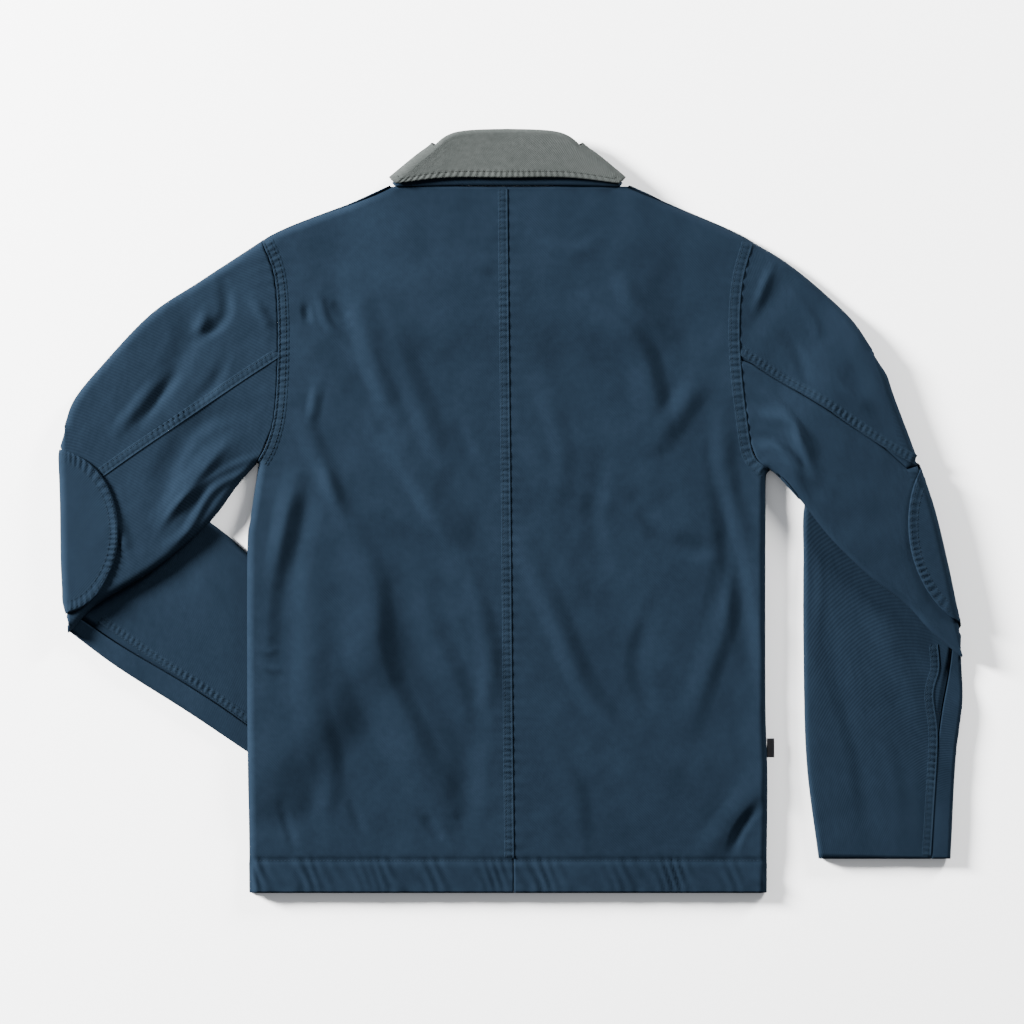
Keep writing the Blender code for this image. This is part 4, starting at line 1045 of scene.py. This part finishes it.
seam_twill = twill_cloth("Navy twill, seam bands", NAVY_DEEP, RUBBED_AND_RIB_LIT, pitch=1.8, slant=-0.9)
SEAM_PATHS = {
    "centre_back": {"path": [(-3.9, 311.0), (-3.2, 230), (-1.0, 20), (1.0, -200), (2.4, -333.5)],
                    "width": -10.0, "side": LEFT, "over": "back"},
    "left_armhole": {"path": [(-240.2, 260.5), (-228.0, 228), (-224.3, 185), (-225.0, 130), (-228.0, 92),
                              (-234.8, 66), (-244.5, 47)],
                     "width": 11.5, "side": LEFT, "over": "back"},
    "right_armhole": {"path": [(231.6, 258.8), (221.6, 222), (218.3, 180.5), (220.1, 135), (225.2, 90),
                               (231.4, 55), (247.0, 40.0)],
                      "width": -11.5, "side": RIGHT, "over": "back"},
    "left_sleeve_back": {"path": [(-219.5, 149.6), (-256, 126), (-307, 91.5), (-358, 56.4), (-398, 28)],
                         "width": -10.0, "side": LEFT, "over": "back"},
    "right_sleeve_back": {"path": [(216.0, 151.6), (252.6, 127), (292.3, 104.4), (319.6, 85.2), (356, 61.2),
                                   (382.5, 45.6)],
                          "width": 10.0, "side": RIGHT, "over": "back"},
    "left_forearm": {"path": [(-398, -105), (-371, -124), (-332, -150.5), (-299, -171.5), (-244, -211)],
                     "width": 9.5, "side": LEFT, "over": "forearm"},
    "right_forearm": {"path": [(408.5, -125), (410, -150), (404, -175), (408, -214), (405, -276),
                               (401.6, -331)],
                      "width": -9.5, "side": RIGHT, "over": "forearm"},
}
seams = {}
for name, seam in SEAM_PATHS.items():
    height = back_surface if seam["over"] == "back" else forearm_top
    grid, flat = band_grid(band_line(seam["path"]), seam["width"], height, seam["side"])
    if seam["width"] > 0:
        grid, flat = grid[:, ::-1], flat[:, ::-1]
    seams[name] = grid
    piece = cloth(f"jacket_seam_{name}", grid, seam_twill, wall=0.5, flat=flat)

# Stitches
# Navy thread a shade lighter than the cloth: two rows along each felled seam and round each patch, and
# one row along the hem and the collar.
STITCH = {"length": 2.5, "gap": 0.9, "thick": 0.26}
STITCHED_COLUMNS = (4, 9)
PATCH_STITCH_ROWS = (0.955, 0.865)
thread = bpy.data.materials.new("Navy thread")
thread.use_nodes = True
thread_nodes, thread_links = thread.node_tree.nodes, thread.node_tree.links
thread_shader = thread_nodes["Principled BSDF"]
put(thread_shader, {"Base Color": (0.0046, 0.0086, 0.0142, 1), "Roughness": 0.9, "Specular IOR Level": 0.05})
twist = thread_nodes.new("ShaderNodeTexNoise")
twist.inputs["Scale"].default_value = 900
strands = thread_nodes.new("ShaderNodeBump")
put(strands, {"Strength": 0.5, "Distance": 0.0001})
thread_place = thread_nodes.new("ShaderNodeTexCoord")
thread_links.new(thread_place.outputs["Object"], twist.inputs["Vector"])
thread_links.new(twist.outputs["Fac"], strands.inputs["Height"])
thread_links.new(strands.outputs["Normal"], thread_shader.inputs["Normal"])


def stitch_rows(name, rows, material):
    """Rows of short stitches, each dipping into the cloth at both ends. A row is a line of points."""
    nothing_selected()
    curve = bpy.data.curves.new(name, "CURVE")
    curve.dimensions = "3D"
    curve.bevel_depth = STITCH["thick"] * MM
    curve.bevel_resolution = 0
    for points in rows:
        run = np.append(0, np.cumsum(np.linalg.norm(np.diff(points, axis=0), axis=1)))
        start = 1.0
        while start + STITCH["length"] < run[-1]:
            spots = start + STITCH["length"] * np.array([0, 0.25, 0.75, 1.0])
            lift = np.array([-0.25, 0.10, 0.10, -0.25])
            spline = curve.splines.new("POLY")
            spline.points.add(3)
            for point, at, up in zip(spline.points, spots, lift):
                place = [np.interp(at, run, points[:, k]) for k in range(3)]
                point.co = (place[0] * MM, place[1] * MM, (place[2] + up) * MM, 1)
            start += STITCH["length"] + STITCH["gap"]
    piece = bpy.data.objects.new(name, curve)
    bpy.context.scene.collection.objects.link(piece)
    piece.select_set(True)
    bpy.context.view_layer.objects.active = piece
    bpy.ops.object.convert(target="MESH")
    piece = bpy.context.object
    piece.data.materials.append(material)
    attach(piece, "root")
    return piece


for name in SEAM_PATHS:
    stitch_rows(f"jacket_stitches_{name}", [seams[name][:, column] for column in STITCHED_COLUMNS], thread)
for arm, side in (("left", LEFT), ("right", RIGHT)):
    rows = []
    for inset in PATCH_STITCH_ROWS:
        turn = np.linspace(0, 2 * math.pi, 400)
        disc_u, disc_v = inset * np.cos(turn), inset * np.sin(turn)
        span = disc_u ** 2 - disc_v ** 2
        u = 0.5 * (np.sqrt(np.maximum(2 + span + 2 * math.sqrt(2) * disc_u, 0))
                   - np.sqrt(np.maximum(2 + span - 2 * math.sqrt(2) * disc_u, 0)))
        v = 0.5 * (np.sqrt(np.maximum(2 - span + 2 * math.sqrt(2) * disc_v, 0))
                   - np.sqrt(np.maximum(2 - span - 2 * math.sqrt(2) * disc_v, 0)))
        points = patch_points(side, u, v)[0]
        rows.append(points[disc_u > -0.25])
    rows = [np.vstack([row[len(row) // 2:], row[:len(row) // 2]]) for row in rows]
    stitch_rows(f"jacket_stitches_{arm}_patch", rows, thread)
grey_thread = thread.copy()
grey_thread.name = "Grey thread"
put(grey_thread.node_tree.nodes["Principled BSDF"], {"Base Color": (0.012, 0.0135, 0.013, 1)})
on_back = collar_row[collar_row[:, 2] > COLLAR_MIDDLE + 6]
stitch_rows("jacket_stitches_collar", [on_back + (0, 0, 0.1)], grey_thread)
hem_x = np.linspace(-246, 239, 300)
hem_y = np.full(300, HEM_Y + HEM_DEPTH)
hem_z = np.where(hem_x < centre_x(hem_y),
                 back_surface(hem_x, hem_y, LEFT), back_surface(hem_x, hem_y, RIGHT))
stitch_rows("jacket_stitches_hem", [np.stack([hem_x, hem_y, hem_z + 0.1], -1)], thread)

# Side label and buttons
# A bare loop of black tape in the right side seam, and five dark flat buttons on the hidden front.
# As in the other twill cloths, the tape's two colours paint light on the rib tops and shade in the rib
# valleys.
woven_tape = twill_cloth("Black tape", (0.006, 0.006, 0.007), (0.022, 0.022, 0.024), pitch=1.1, slant=0.0,
                         relief=0.08, sheen=0.1)
LABEL_LAYERS = 0.36
low, high = (np.array(corner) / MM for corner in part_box("side_label"))
middle_z, round_off = (low[2] + high[2]) / 2, (high[2] - low[2]) / 2
bend = np.linspace(math.pi / 2, -math.pi / 2, 9)
run_out = np.linspace(low[0], high[0] - round_off, 8)
loop_x = np.concatenate([run_out, high[0] - round_off + round_off * np.cos(bend), run_out[::-1]])
loop_z = np.concatenate([np.full(8, high[2]), middle_z + round_off * np.sin(bend), np.full(8, low[2])])
label_y = np.linspace(low[1], high[1], 16)[:, None]
label_grid = np.stack([loop_x + 0 * label_y, label_y + 0 * loop_x, loop_z + 0 * label_y], -1)
label_run = np.append(0, np.cumsum(np.hypot(np.diff(loop_x), np.diff(loop_z))))
label_flat = np.stack([label_run + 0 * label_y, label_y + 0 * loop_x], -1)
label = cloth("jacket_side_label", label_grid, woven_tape, wall=LABEL_LAYERS, flat=label_flat)
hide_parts("side_label")

horn = bpy.data.materials.new("Dark button")
horn.use_nodes = True
horn_nodes, horn_links = horn.node_tree.nodes, horn.node_tree.links
horn_shader = horn_nodes["Principled BSDF"]
horn_shader.inputs["Roughness"].default_value = 0.38
horn_place = horn_nodes.new("ShaderNodeTexCoord")
horn_veins = horn_nodes.new("ShaderNodeTexNoise")
horn_veins.inputs["Scale"].default_value = 180
horn_colours = horn_nodes.new("ShaderNodeValToRGB")
horn_colours.color_ramp.elements[0].color = (0.010, 0.010, 0.013, 1)
horn_colours.color_ramp.elements[1].color = (0.045, 0.042, 0.045, 1)
horn_links.new(horn_place.outputs["Object"], horn_veins.inputs["Vector"])
horn_links.new(horn_veins.outputs["Fac"], horn_colours.inputs["Fac"])
horn_links.new(horn_colours.outputs["Color"], horn_shader.inputs["Base Color"])
for number in range(1, 6):
    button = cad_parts[f"button_{number}"]
    button.data.materials.clear()
    button.data.materials.append(horn)

bpy.context.view_layer.update()
